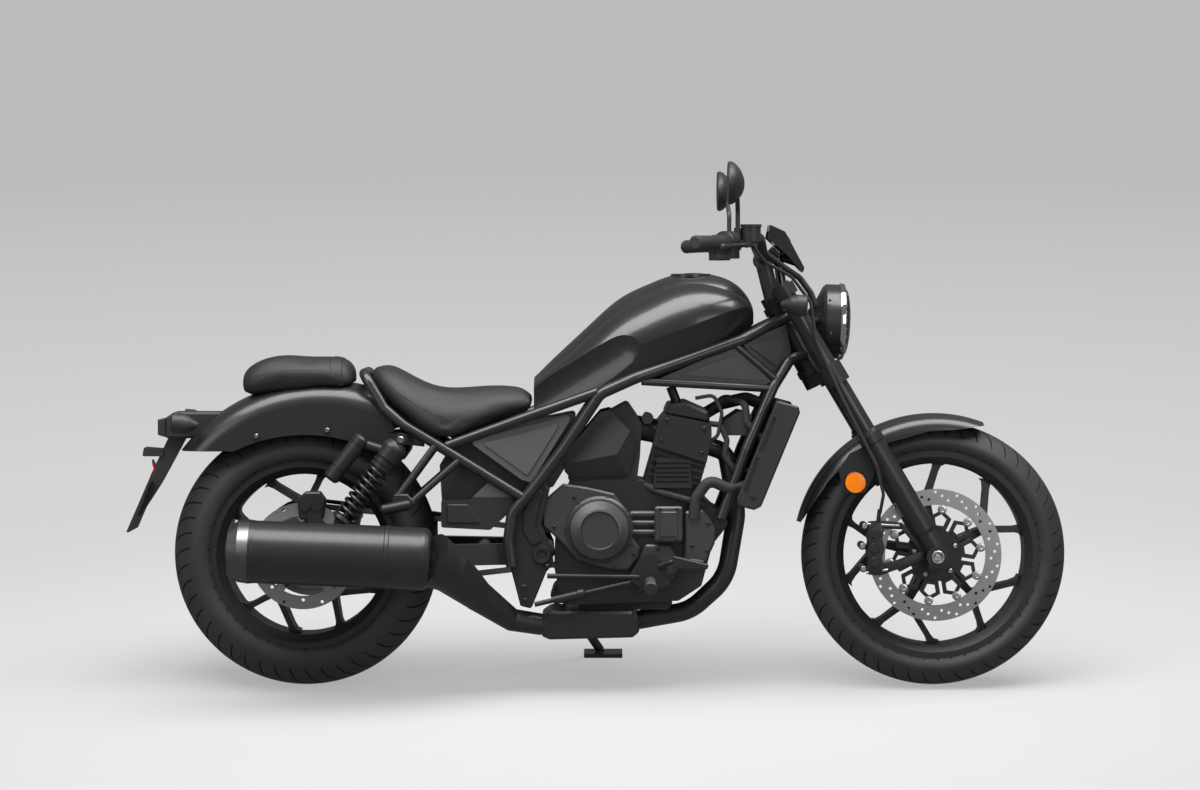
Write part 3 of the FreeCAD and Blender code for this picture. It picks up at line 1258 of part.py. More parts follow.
def grip():
    profile = [(-12, 0), (-12, 13), (-8, 17), (-2, 17), (0, 14.5), (2, GRIP_R), (GRIP_LONG - 8, GRIP_R)]
    profile += [(GRIP_LONG - 7, 22), (GRIP_LONG, 22), (GRIP_LONG, 0)]
    return turned_along(GRIP_END, GRIP_WAY, profile)


def grip_spot(along, forward=0.0, up=0.0):
    """A point by the left grip: along it from its end, ahead of it and above it."""
    return GRIP_END + GRIP_WAY * along + LEVER_WAY * forward + vec(0, 0, up)


def switch_housing():
    """The switch box round the bar, with its clamp for lever and mirror."""
    start = GRIP_LONG + 0.5
    drum = turned_along(GRIP_END, GRIP_WAY, [(start, 0), (start, 25), (start + 4, 27), (start + 40, 27),
                                             (start + 44, 23), (start + 44, 0)])
    low = [grip_spot(start + 4, -18, -16), grip_spot(start + 42, -18, -16), grip_spot(start + 42, 22, -16),
           grip_spot(start + 4, 22, -16)]
    box = prism(low, vec(0, 0, -22))
    perch = rod(grip_spot(start + 46), grip_spot(start + 66), 20)
    ear = strip(grip_spot(start + 46, 8, -6), grip_spot(start + 30, 50, -8), vec(0, 0, 12), 22)
    mirror_boss = rod(grip_spot(start + 56, 10, 4), grip_spot(start + 56, 10, 34), 9)
    return joined([drum, box, perch, ear, mirror_boss])


def master_cylinder():
    """The front brake's cylinder and its square fluid pot, ahead of the right-hand bar."""
    barrel = rod(grip_spot(210, 26, 0), grip_spot(160, 46, -2), 11)
    pot = rod(grip_spot(206, 34, 2), grip_spot(206, 34, 36), 23)
    lid = rod(grip_spot(206, 34, 36), grip_spot(206, 34, 42), 25)
    return [mirrored(s) for s in (barrel, pot, lid)]


def control_lever():
    route = [grip_spot(160, 52, -4), grip_spot(128, 60, -6), grip_spot(84, 50, -8), grip_spot(36, 48, -10)]
    blade = bent_tube([(p.x, p.y, p.z) for p in route], 5.5, 40)
    pivot = rod(grip_spot(160, 50, -12), grip_spot(160, 50, 8), 9)
    tip = turned_along(route[-1], route[-1] - route[-2], [(-8, 0), (-8, 4), (-4, 7.5), (4, 7.5), (8, 4), (8, 0)])
    return joined([blade, pivot, tip])


def oval(centre_x, centre_z, half_y, half_z):
    """An upright oval hoop facing along X, on the left-hand side."""
    shape = Part.Ellipse(vec(0, 0, 0), half_y, half_z).toShape()
    shape.rotate(vec(0, 0, 0), vec(0, 0, 1), 90)
    shape.rotate(vec(0, 0, 0), ACROSS, 90)
    shape.translate(vec(centre_x, MIRROR_HALF, centre_z))
    return Part.Wire(shape)


def mirror():
    """The domed back of a mirror on its bent stem."""
    hoops = [oval(1008, 1207, 64, 48), oval(1013, 1207, 66, 50), oval(1026, 1207, 59, 44),
             oval(1038, 1206, 41, 30), oval(1046, 1205, 16, 11)]
    shell = Part.makeLoft(hoops, True, False)
    foot = grip_spot(GRIP_LONG + 56.5, 10, 30)
    stem = bent_tube([(foot.x, foot.y, foot.z), (foot.x, foot.y, 1146), (1032, 300, 1176),
                      (1030, MIRROR_HALF - 14, 1200)], 5.5, 14)
    return joined([shell, stem])


def headlight():
    """The deep shell, its bright rim and the domed lens, on two brackets from the fork."""
    start = vec(LAMP_AT[0], 0, LAMP_AT[1])
    way = vec(1, 0, -0.03)
    r = LAMP_R
    shell = turned_along(start, way, [(0, 0), (0, 26), (18, 50), (35, r - 6), (42, r), (72, r), (74, r - 2), (74, 0)])
    lens = turned_along(start, way, [(74, 0), (74, r + 2), (78, r + 3), (86, r + 1), (88, r - 4), (96, r - 10),
                                     (101, r * 0.6), (103, r * 0.25), (103, 0)])
    ears = []
    for side in (-1, 1):
        ears.append(rod(vec(1232, side * 60, 884), fork_point(884, side * (FORK_HALF - 10)), 10))
    return joined([shell] + ears), lens


def front_indicators():
    lamp = indicator((1204, 921), (1140, 925), 168)
    stalk = across(fork_at(921), 9, FORK_HALF, 150)
    return joined([lamp, stalk])


SCREEN = [(1115, 1084), (1121, 1115), (1157, 1099), (1205, 1012), (1201, 1001), (1163, 1041)]
SCREEN_HALF = 72.0
SCREEN_T = 4.0
DIAL_AT = vec(1128, 0, 1056)
DIAL_WAY = vec(-0.72, 0, 0.69).normalize()


def instrument():
    """The small screen, bent back at its sides, and the round dial behind it on a stay from the upper yoke."""
    plan = [(1090, -SCREEN_HALF), (1136, -SCREEN_HALF), (1212, -40), (1212, 40), (1136, SCREEN_HALF)]
    plan.append((1090, SCREEN_HALF))
    outside = slab(SCREEN, -SCREEN_HALF, SCREEN_HALF).common(deck(plan, 990, 1130))
    hollow = deck([(x - 5, y * (1 - SCREEN_T / SCREEN_HALF)) for x, y in plan], 980, 1140)
    shield = outside.cut(hollow.common(slab([(1060, 980), (1060, 1110), (1151, 1094), (1199, 1006), (1190, 980)],
                                            -SCREEN_HALF, SCREEN_HALF)))
    dial = turned_along(DIAL_AT, DIAL_WAY, [(-24, 0), (-24, 34), (-18, 48), (0, 52), (4, 52), (4, 46), (1, 45), (1, 0)])
    stay = rod(DIAL_AT + DIAL_WAY * -20, steer_point(HEAD_HIGH + YOKE_THICK - 14, 26), 12)
    arm = rod(vec(1140, 0, 1040), vec(1190, 0, 1024), 9)
    return joined([shield, dial, stay, arm])


def brake_hoses():
    """The front brake's hose down to the caliper and two looms that loop from the bars to the lamp."""
    right = [(1072, -236, 1060), (1104, -196, 1024), (1168, -150, 990), (1214, -138, 930), (1226, -140, 840),
             (1290, -142, 700), (1372, -140, 540), (1390, -124, 470), (1384, -96, 424)]
    hoses = [bent_tube(right, 4.0, 26)]
    for y in (-34, 36):
        loom = [(1104, y * 2.6, 1052), (1150, y * 1.6, 1018), (1196, y, 988), (1222, y, 952), (1234, y, 920)]
        hoses.append(bent_tube(loom, 6.0, 28))
    return hoses


# Assembly

def frame_pieces():
    head = head_tube()
    core = head_solid()
    main = cope(pair(bent_tube(TOP_TUBE, MAIN_TUBE_R, 45)), [core])
    down = cope(pair(bent_tube(DOWN_TUBE, BRACE_TUBE_R, 40)), [core] + main)
    rails = cope(pair(bent_tube(SEAT_RAIL, BRACE_TUBE_R, 60)), main)
    loop = cope([seat_loop()], main)
    rails = joined(rails + loop).Solids
    cross = pair(bent_tube(CROSS_RAIL, LIGHT_TUBE_R, 30))
    diagonal = pair(bent_tube(DIAGONAL, LIGHT_TUBE_R, 30))
    braces = cope([joined(both) for both in zip(cross, diagonal)], main + down)
    return {"head_tube": [head], "main_tubes": main, "down_tubes": down + braces, "seat_rails": rails,
            "pivot_plates": cope(pair(pivot_plate()), main + rails)}


def chassis(nodes):
    main = nodes["main_tubes"]
    down = nodes["down_tubes"]
    rails = nodes["seat_rails"]
    tubes = main + down + rails
    plates = nodes["pivot_plates"]
    arm = swingarm()
    nodes["swingarm"] = [arm]
    bolt = across((PIVOT_X, PIVOT_Z), PIVOT_BORE_R, -PLATE_OUT, PLATE_OUT)
    nodes["rear_axle"] = [rear_axle()] + cope([bolt], plates)

    tank = fuel_tank().cut(pair(knee_recess()))
    nodes["fuel_tank"] = largest(cope([joined([tank, fuel_cap()])], tubes))
    soft = BRACE_TUBE_R + SOFT_GAP
    clear = pair(bent_tube(SEAT_RAIL, soft, 60)) + [seat_loop(soft), fuel_tank(SOFT_GAP), fender_plug(SOFT_GAP)]
    nodes["seat"] = largest(cope([pad(SEAT_ROWS)], clear))
    nodes["pillion_pad"] = largest(cope([pad(PILLION_ROWS)], [fender_plug(SOFT_GAP)]))
    nodes["rear_fender"] = largest(cope([rear_fender()], rails))
    nodes["fender_rails"] = cope(pair(fender_rail()), rails)
    nodes["side_panels"] = side_panels(tubes + plates) + cope([chain_guard()], [arm])

    case = cope([crankcase()], down + plates)
    nodes["crankcase"] = case
    generator, guard = left_covers()
    nodes["engine_covers"] = cope([right_covers(), generator, guard], case + plates + [arm])
    nodes["cylinder_head"] = cope([cylinder_head()], case)
    engine = case + nodes["engine_covers"] + nodes["cylinder_head"]
    air = cope([airbox()], engine + tubes + nodes["fuel_tank"] + plates)
    near = tubes + air + nodes["side_panels"] + nodes["seat"] + nodes["fuel_tank"]
    nodes["airbox"] = air + largest(cope([battery_box()], near))
    nodes["front_sprocket"] = cope([front_sprocket()], case)
    nodes["drive_chain"] = [drive_chain()]

    nodes["radiator"] = cope([radiator()], down)
    nodes["radiator_covers"] = cope(pair(radiator_cover()), down)
    nodes["coolant_hoses"] = cope(coolant_hoses(), engine + down + nodes["radiator"])
    nodes["exhaust_collector"] = cope([collector()], case)
    nodes["exhaust_headers"] = cope(exhaust_headers(), nodes["exhaust_collector"] + engine)
    can, cap = muffler()
    nodes["muffler"] = [can]
    nodes["muffler_cap"] = [cap]
    nodes["exhaust_link"] = cope([link_pipe()], nodes["exhaust_collector"] + [can])

    nodes["shocks"] = cope(pair(shock()), [arm] + nodes["fender_rails"])
    nodes["shock_springs"] = pair(shock_spring())
    nodes["rear_caliper"] = cope([rear_caliper()], [arm])
    lamp, lens = tail_lamp()
    nodes["tail_lamp"] = cope([lamp], nodes["rear_fender"]) + [lens]
    stalk = across((-282, 638), 8, 36, 118)
    rear_lamp = joined([indicator((-312, 641), (-252, 636), 118), stalk])
    nodes["rear_indicators"] = cope(pair(rear_lamp), nodes["tail_lamp"] + nodes["rear_fender"])
    nodes["plate_holder"] = cope([plate_holder()], nodes["tail_lamp"] + nodes["rear_fender"])

    right_peg = joined([foot_peg()] + brake_pedal())
    left_peg = joined([mirrored(foot_peg())] + gear_pedal())
    rear_pegs = cope(pair(pillion_pegs()), rails + nodes["side_panels"])
    nodes["foot_pegs"] = cope([right_peg, left_peg], plates + engine) + rear_pegs
    nodes["stand_bracket"] = cope([stand_bracket()], case + plates)


def steering(nodes):
    tubes = pair(fork_tube())
    nodes["fork_tubes"] = tubes
    nodes["fork_sliders"] = cope(pair(fork_slider()), tubes)
    nodes["lower_yoke"] = cope([lower_yoke()], tubes)
    bar = handlebar()
    nodes["handlebar"] = [bar]
    nodes["upper_yoke"] = cope([upper_yoke()], tubes + [bar] + nodes["lower_yoke"])
    axle = across((FRONT_AXLE.x, FRONT_AXLE.z), AXLE_R, -AXLE_HALF, AXLE_HALF)
    bore = across((FRONT_AXLE.x, FRONT_AXLE.z), AXLE_BORE_R, 80, AXLE_HALF + 4)
    nodes["front_axle"] = [axle.cut(bore)]
    nodes["front_fender"] = cope([front_fender()], nodes["fork_sliders"])
    nodes["front_caliper"] = cope([front_caliper()], nodes["fork_sliders"])
    nodes["grips"] = cope(pair(grip()), [bar])
    housings = [switch_housing(), joined([mirrored(switch_housing())] + master_cylinder())]
    nodes["switch_housings"] = cope(housings, [bar] + nodes["grips"])
    nodes["control_levers"] = cope(pair(control_lever()), nodes["switch_housings"])
    nodes["mirrors"] = cope(pair(mirror()), [bar] + nodes["switch_housings"])
    shell, lens = headlight()
    nodes["headlight_shell"] = cope([shell], tubes)
    nodes["headlight_lens"] = [lens]
    nodes["front_indicators"] = cope(pair(front_indicators()), tubes)
    nodes["instrument"] = cope([instrument()], nodes["upper_yoke"] + [bar])
    solid_pieces = nodes["front_caliper"] + nodes["switch_housings"] + nodes["headlight_shell"]
    solid_pieces += nodes["instrument"] + [bar] + nodes["upper_yoke"] + nodes["fork_sliders"]
    nodes["brake_hoses"] = cope(brake_hoses(), solid_pieces + nodes["front_indicators"])


def wheels(nodes):
    nodes["front_rim"] = [cast_wheel(FRONT_AXLE, FRONT_BEAD_R, FRONT_RIM_W, 40, 72, 72, 12, FRONT_ARM_DEG)]
    nodes["front_disc"] = cope([brake_disc(FRONT_AXLE, FRONT_DISC_R, FRONT_DISC_IN_R, FRONT_DISC_Y, 44, 10, 20)],
                               nodes["front_rim"])
    nodes["front_tyre"] = largest(cope([tyre(FRONT_AXLE, FRONT_TYRE_R, FRONT_TYRE_W, FRONT_CROWN_R, FRONT_BEAD_R,
                                             FRONT_RIM_W)], nodes["front_rim"]))
    nodes["rear_rim"] = [cast_wheel(REAR_AXLE, REAR_BEAD_R, REAR_RIM_W, 56, 101, 106, 16, REAR_ARM_DEG)]
    nodes["rear_disc"] = cope([brake_disc(REAR_AXLE, REAR_DISC_R, REAR_DISC_IN_R, REAR_DISC_Y, 50, 5, 16)],
                              nodes["rear_rim"])
    nodes["rear_tyre"] = largest(cope([tyre(REAR_AXLE, REAR_TYRE_R, REAR_TYRE_W, REAR_CROWN_R, REAR_BEAD_R,
                                            REAR_RIM_W)], nodes["rear_rim"]))
    nodes["rear_sprocket"] = cope([rear_sprocket()], nodes["rear_rim"])


def place(shape):
    """The upright machine leaned onto its stand, with the origin under its middle."""
    moved = shape.copy()
    moved.rotate(vec(0, 0, 0), vec(1, 0, 0), -LEAN_DEG)
    moved.translate(vec(-CENTRE_X, -CENTRE_Y, 0))
    return moved


def main():
    os.makedirs("parts", exist_ok=True)
    nodes = frame_pieces()
    chassis(nodes)
    steering(nodes)
    wheels(nodes)
    nodes["side_stand"] = [stand_leg()]
    for name, solids in sorted(nodes.items()):
        shapes = [place(s) for s in solids]
        whole = shapes[0] if len(shapes) == 1 else Part.makeCompound(shapes)
        whole.exportStep("parts/" + name + ".step")
        print(name, len(solids), whole.isValid(), round(sum(s.Volume for s in solids) / 1e6, 3))


main()
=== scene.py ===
# %% [markdown]
# # A cruiser motorcycle, dressed for its portrait
#
# The machine's solid parts come from a CAD program. They are exact, and they are plain: every surface is
# one flat colour, the tyres are smooth and the seat looks like a block. This lesson adds what the eye looks
# for: paint that catches the light, rubber that doesn't, stitched upholstery, tread, bolts, lamp glass and
# a photographer's pale studio round it all.
#
# The CAD objects arrive in place, so nothing is moved. New pieces are built where they belong, and each one
# then rides on the body that carries it: the chassis, the steering or a wheel.

# %%
import math

import bpy
import bmesh
from mathutils import Matrix, Vector


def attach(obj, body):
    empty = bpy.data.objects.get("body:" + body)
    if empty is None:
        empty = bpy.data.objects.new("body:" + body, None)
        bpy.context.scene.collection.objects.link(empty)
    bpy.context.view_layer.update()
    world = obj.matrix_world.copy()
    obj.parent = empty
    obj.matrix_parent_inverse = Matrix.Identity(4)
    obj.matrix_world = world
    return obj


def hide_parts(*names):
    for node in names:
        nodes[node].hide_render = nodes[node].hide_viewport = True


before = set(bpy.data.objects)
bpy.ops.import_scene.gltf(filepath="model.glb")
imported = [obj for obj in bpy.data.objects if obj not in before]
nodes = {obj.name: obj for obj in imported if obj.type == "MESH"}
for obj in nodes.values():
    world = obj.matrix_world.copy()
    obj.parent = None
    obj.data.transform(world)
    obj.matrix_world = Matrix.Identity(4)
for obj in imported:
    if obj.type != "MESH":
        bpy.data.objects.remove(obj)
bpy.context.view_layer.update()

# %% [markdown]
# ## Where things are
#
# The machine was drawn upright, with the rear axle at the start of X, and then leaned nine degrees onto its
# stand. It is far easier to think about the upright machine, so two helpers carry points from it to the
# leaned one: `spot` takes a place in millimetres and `way` a direction.

# %%
LEAN = math.radians(9.0)
WHEELBASE = 1520.0
FRONT_TYRE_R = 319.5
REAR_TYRE_R = 320.0
FRONT_CROWN_R = 68.0
REAR_CROWN_R = 96.0
TAIL_REACH = 426.0
BAR_HALF = 415.0
BAR_END_Z = 1068.0
PEG_REACH = 335.0
PEG_Z = 262.0

# A leaned tyre stands on the side of its crown, so on the upright machine its axle is a little higher than
# its radius.
FRONT_AXLE_Z = FRONT_TYRE_R - FRONT_CROWN_R + FRONT_CROWN_R / math.cos(LEAN)
REAR_AXLE_Z = REAR_TYRE_R - REAR_CROWN_R + REAR_CROWN_R / math.cos(LEAN)
FRONT_AXLE = (WHEELBASE, 0, FRONT_AXLE_Z)
REAR_AXLE = (0, 0, REAR_AXLE_Z)

# The frame's origin is under the middle of the leaned machine, between the bar's end and the foot peg.
CENTRE_X = (WHEELBASE + FRONT_TYRE_R - TAIL_REACH) / 2
LEFT_REACH = BAR_HALF * math.cos(LEAN) + BAR_END_Z * math.sin(LEAN)
RIGHT_REACH = PEG_REACH * math.cos(LEAN) - PEG_Z * math.sin(LEAN)
CENTRE_Y = (LEFT_REACH - RIGHT_REACH) / 2
LEANED = Matrix.Translation((-CENTRE_X / 1000, -CENTRE_Y / 1000, 0)) @ Matrix.Rotation(-LEAN, 4, "X")


def spot(x, y, z):
    return LEANED @ Vector((x / 1000, y / 1000, z / 1000))


def way(x, y, z):
    return (LEANED.to_3x3() @ Vector((x, y, z))).normalized()


print("rear axle at", [round(v, 3) for v in spot(*REAR_AXLE)])

# %% [markdown]
# ## Arithmetic with shader sockets
#
# Paint, rubber and cast metal all vary a little over a surface. Shader nodes can make that variation from
# noise, with no image files, but long chains of Math nodes are hard to read. This class wraps one socket,
# so that `0.4 + 0.1 * noise` makes the nodes by itself.

# %%
MARKS_PER_METRE = 1600.0


class Link:
    """A node socket that arithmetic signs can be used on."""

    def __init__(self, shade, socket):
        self.shade = shade
        self.socket = socket

    def math(self, operation, first, second):
        return self.shade.node("ShaderNodeMath", {"operation": operation}, {0: first, 1: second})

    def __add__(self, other):
        return self.math("ADD", self, other)

    def __radd__(self, other):
        return self.math("ADD", other, self)

    def __sub__(self, other):
        return self.math("SUBTRACT", self, other)

    def __rsub__(self, other):
        return self.math("SUBTRACT", other, self)

    def __mul__(self, other):
        return self.math("MULTIPLY", self, other)

    def __rmul__(self, other):
        return self.math("MULTIPLY", other, self)

    def __gt__(self, other):
        return self.math("GREATER_THAN", self, other)

    def __lt__(self, other):
        return self.math("LESS_THAN", self, other)

    def part(self):
        return self.math("FRACT", self, 0.0)

    def root(self):
        return self.math("SQRT", self, 0.0)


class Shade:
    """One material with its Principled surface, and a method that adds any node."""

    def __init__(self, name, **settings):
        self.material = bpy.data.materials.new(name)
        self.material.use_nodes = True
        self.tree = self.material.node_tree
        self.surface = self.tree.nodes["Principled BSDF"]
        for socket, value in settings.items():
            self.surface.inputs[socket.replace("_", " ")].default_value = value

    def node(self, kind, settings=None, inputs=None, output=0):
        node = self.tree.nodes.new(kind)
        for key, value in (settings or {}).items():
            setattr(node, key, value)
        for key, value in (inputs or {}).items():
            if isinstance(value, Link):
                self.tree.links.new(value.socket, node.inputs[key])
            else:
                node.inputs[key].default_value = value
        return Link(self, node.outputs[output])

    def place(self):
        return self.node("ShaderNodeTexCoord", output=3)

    def parts(self, vector):
        split = self.node("ShaderNodeSeparateXYZ", inputs={0: vector})
        outs = split.socket.node.outputs
        return [Link(self, outs[i]) for i in range(3)]

    def noise(self, scale, detail=3.0, rough=0.55):
        inputs = {"Vector": self.place(), "Scale": scale, "Detail": detail, "Roughness": rough}
        return self.node("ShaderNodeTexNoise", {}, inputs)

    def cells(self, scale):
        return self.node("ShaderNodeTexVoronoi", {}, {"Vector": self.place(), "Scale": scale})

    def feed(self, socket, link):
        self.tree.links.new(link.socket, self.surface.inputs[socket])

    def between(self, amount, low, high):
        """A colour from low to high by an amount. Sockets 6 and 7 are the Mix node's two colours."""
        return self.node("ShaderNodeMix", {"data_type": "RGBA"}, {"Factor": amount, 6: low, 7: high}, 2)

    def tint(self, amount, low, high):
        self.feed("Base Color", self.between(amount, low, high))

    def bump(self, height, distance, strength):
        inputs = {"Height": height, "Distance": distance, "Strength": strength}
        self.feed("Normal", self.node("ShaderNodeBump", {}, inputs))

    def axle_radius(self, axle):
        """Distances forward and up from an axle of the upright machine, and the distance from it."""
        inputs = {"Vector": self.place(), "Location": spot(*axle), "Rotation": LEANED.to_euler()}
        forward, _, up = self.parts(self.node("ShaderNodeMapping", {"vector_type": "TEXTURE"}, inputs))
        return forward, up, (forward * forward + up * up).root()

    def ground_marks(self, radius):
        """Fine rings at growing distances from the axle, as a grinder leaves them."""
        lines = self.node("ShaderNodeCombineXYZ", {}, {0: radius * MARKS_PER_METRE})
        return self.node("ShaderNodeTexNoise", {}, {"Vector": lines, "Scale": 1.0, "Detail": 3.0})


print("shader sums are ready")

# %% [markdown]
# ## The finishes
#
# The whole machine is black, so the finishes differ in shine and grain and hardly in colour: gloss paint
# with a clear coat, satin powder coat on the frame, grainy cast metal, a darker bead-blasted grey on the
# round engine covers, moulded plastic, matte rubber and a leather-like seat cover. Each takes its small
# variation from noise, at the size the real grain has.

# %%
SHINE_SPREAD = 0.05


def grey(level, blue=1.0):
    return (level, level, level * blue, 1.0)


def painted(name, level, rough, coat):
    """Paint or powder coat: slightly uneven shine, with a clear coat where it is glossy."""
    shade = Shade(name, Roughness=rough, Coat_Weight=coat, Coat_Roughness=0.06, Metallic=0.0)
    cloud = shade.noise(9.0)
    shade.tint(cloud, grey(level * 0.85, 1.06), grey(level * 1.2, 1.04))
    shade.feed("Roughness", rough - SHINE_SPREAD / 2 + SHINE_SPREAD * cloud)
    shade.bump(shade.noise(900.0, 2.0), 0.00004, 0.35)
    return shade.material


def cast(name, level, rough, grain, metal):
    """Cast or blasted metal: a fine sandy grain with a soft sheen, a little lighter on the high spots."""
    shade = Shade(name, Metallic=metal, Roughness=rough)
    sand = shade.noise(grain, 5.0, 0.65)
    shade.tint(sand, grey(level * 0.8, 1.05), grey(level * 1.35, 1.03))
    shade.feed("Roughness", rough - 0.08 + 0.16 * sand)
    shade.bump(sand, 0.0004, 0.35)
    return shade.material


def brushed(name, level, rough, stretch):
    """Bare metal with fine marks, drawn out where the stretch is small."""
    shade = Shade(name, Metallic=1.0, Roughness=rough)
    long = shade.node("ShaderNodeMapping", {}, {"Vector": shade.place(), "Scale": stretch})
    marks = shade.node("ShaderNodeTexNoise", {}, {"Vector": long, "Scale": 1.0, "Detail": 4.0})
    shade.tint(marks, grey(level * 0.8), grey(level * 1.12))
    shade.feed("Roughness", rough - 0.1 + 0.2 * marks)
    return shade.material


def moulded(name, level, rough):
    """Moulded plastic with its fine leathery texture."""
    shade = Shade(name, Roughness=rough)
    grain = shade.cells(1400.0)
    shade.tint(shade.noise(6.0), grey(level * 0.85, 1.04), grey(level * 1.15, 1.04))
    shade.feed("Roughness", rough - 0.04 + 0.08 * shade.noise(40.0))
    shade.bump(grain, 0.00008, 0.3)
    return shade.material


def rubbery(name, level, rough):
    """Rubber: matte, with a faint bloom of dust in patches."""
    shade = Shade(name, Roughness=rough)
    bloom = shade.noise(14.0, 5.0)
    shade.tint(bloom, grey(level * 0.75, 1.03), grey(level * 1.4, 1.02))
    shade.feed("Roughness", rough - 0.1 + 0.2 * bloom)
    shade.bump(shade.noise(700.0, 3.0), 0.0001, 0.4)
    return shade.material


def glassy(name, colour, rough, clear):
    """A lens or reflector: clear or coloured plastic, with as much light passing through as clear says."""
    shade = Shade(name, Roughness=rough, Transmission_Weight=clear, IOR=1.45)
    shade.tint(shade.noise(30.0), colour, tuple(c * 0.94 for c in colour[:3]) + (1.0,))
    shade.feed("Roughness", rough + 0.02 * shade.noise(60.0))
    return shade.material


gloss_black = painted("gloss black paint", 0.012, 0.16, 0.9)
satin_black = painted("satin black coat", 0.016, 0.34, 0.25)
tank_paint = painted("tank paint", 0.016, 0.3, 0.35)
muffler_black = painted("muffler black", 0.016, 0.36, 0.1)
swingarm_paint = painted("swingarm paint", 0.014, 0.3, 0.3)
cast_black = cast("cast black", 0.03, 0.4, 520.0, 0.5)
dark_grey = cast("blasted dark grey", 0.085, 0.38, 700.0, 0.7)
bright_edge = brushed("satin silver", 0.22, 0.34, (60.0, 60.0, 60.0))
steel = brushed("ground steel", 0.58, 0.28, (900.0, 20.0, 900.0))


GROUND_DARK = grey(0.42)
GROUND_PALE = grey(0.62)
# The side panels' painted sheen lies behind this x, in millimetres, and above this height, in metres.
PAINTED_SHEEN_FRONT_X = 720.0
PAINTED_SHEEN_LOW_Z = 0.481


def disc_metal(name, axle, inner):
    """A ground steel ring with fine marks round the axle, on a black carrier."""
    shade = Shade(name, Roughness=0.3)
    _, _, radius = shade.axle_radius(axle)
    ring = radius > inner
    marks = shade.ground_marks(radius)
    shade.tint(ring, grey(0.014), shade.between(marks, GROUND_DARK, GROUND_PALE))
    shade.feed("Metallic", ring)
    shade.feed("Roughness", 0.36 - 0.12 * marks * ring)
    return shade.material


rear_disc_steel = disc_metal("rear disc steel", REAR_AXLE, 0.0962)
zinc = brushed("plated steel", 0.5, 0.3, (300.0, 300.0, 300.0))
plastic = moulded("black plastic", 0.02, 0.48)
rubber = rubbery("black rubber", 0.02, 0.72)
tyre_rubber = rubbery("tyre rubber", 0.022, 0.62)
spring_black = painted("spring coat", 0.014, 0.3, 0.3)
dark_steel = brushed("blackened steel", 0.09, 0.36, (300.0, 300.0, 300.0))
bright_steel = brushed("bright steel", 0.62, 0.32, (300.0, 300.0, 300.0))
chrome = brushed("chrome", 0.82, 0.08, (60.0, 60.0, 60.0))
clear_lens = glassy("clear lens", (0.95, 0.96, 0.97, 1.0), 0.03, 1.0)
red_lens = glassy("red lens", (0.6, 0.01, 0.01, 1.0), 0.12, 0.35)
lamp_white = moulded("lamp white", 0.85, 0.25)
amber_reflector = glassy("amber reflector", (1.0, 0.24, 0.005, 1.0), 0.2, 0.0)


def upholstery():
    """A vinyl cover with a fine leathery grain and a slight sheen."""
    shade = Shade("seat cover", Roughness=0.5)
    grain = shade.cells(620.0)
    shade.tint(shade.noise(8.0), grey(0.009, 1.03), grey(0.015, 1.03))
    shade.feed("Roughness", 0.5 + 0.12 * shade.noise(30.0) + 0.06 * grain)
    shade.bump(grain, 0.00022, 0.4)
    return shade.material


def panel_paint_with_painted_sheen():
    """Satin paint with a painted sheen: the panel under the seat is a lighter grey than those under the tank.
    """
    shade = Shade("satin side panel", Roughness=0.4, Coat_Weight=0.1)
    x, _, z = shade.parts(shade.place())
    # The lighter grey under the seat is a painted sheen. It stands for the light that the tilted panel
    # catches.
    painted_sheen_area = (x < (PAINTED_SHEEN_FRONT_X - CENTRE_X) / 1000) * (z > PAINTED_SHEEN_LOW_Z)
    shade.tint(painted_sheen_area, grey(0.022, 1.04), grey(0.085, 1.02))
    shade.feed("Roughness", 0.36 + 0.08 * shade.noise(9.0))
    return shade.material


panel_satin = panel_paint_with_painted_sheen()
seat_cover = upholstery()
thread = rubbery("seat thread", 0.03, 0.6)
print(len(bpy.data.materials), "materials with the CAD's own")

# %% [markdown]
# ## Dressing the CAD parts
#
# A CAD part whose shape is right only needs a better finish. The others are replaced further down and
# aren't in this list. A part's slot is given the new material, and the edges are shaded smooth wherever
# neighbouring faces meet at a small angle, so that round things look round and corners stay sharp.

# %%
CAD_SMOOTH_ANGLE = math.radians(24)
FINISHES = {
    gloss_black: ["instrument"],
    tank_paint: ["fuel_tank"],
    satin_black: ["head_tube", "main_tubes", "down_tubes", "seat_rails", "fender_rails", "front_fender",
                  "rear_fender", "handlebar", "fork_tubes", "side_stand", "stand_bracket", "headlight_shell"],
    cast_black: ["pivot_plates", "crankcase", "cylinder_head", "radiator", "shocks", "rear_caliper",
                 "foot_pegs", "lower_yoke", "upper_yoke", "front_rim", "rear_rim",
                 "fork_sliders", "control_levers"],
    dark_grey: ["engine_covers"],
    muffler_black: ["exhaust_collector", "exhaust_headers", "exhaust_link", "muffler"],
    swingarm_paint: ["swingarm"],
    bright_edge: ["muffler_cap"],
    steel: ["rear_axle", "front_axle", "front_sprocket", "rear_sprocket"],
    rear_disc_steel: ["rear_disc"],
    zinc: ["drive_chain"],
    plastic: ["airbox", "radiator_covers", "tail_lamp", "rear_indicators", "plate_holder",
              "switch_housings", "mirrors", "front_indicators"],
    panel_satin: ["side_panels"],
    rubber: ["grips", "brake_hoses", "coolant_hoses"],
}
for material, names in FINISHES.items():
    for name in names:
        piece = nodes[name]
        piece.data.materials.clear()
        piece.data.materials.append(material)
bpy.ops.object.select_all(action="DESELECT")
for piece in nodes.values():
    piece.select_set(True)
    bpy.context.view_layer.objects.active = piece
bpy.ops.object.shade_smooth_by_angle(angle=CAD_SMOOTH_ANGLE)
bpy.ops.object.select_all(action="DESELECT")
print(sum(len(names) for names in FINISHES.values()), "CAD parts dressed")

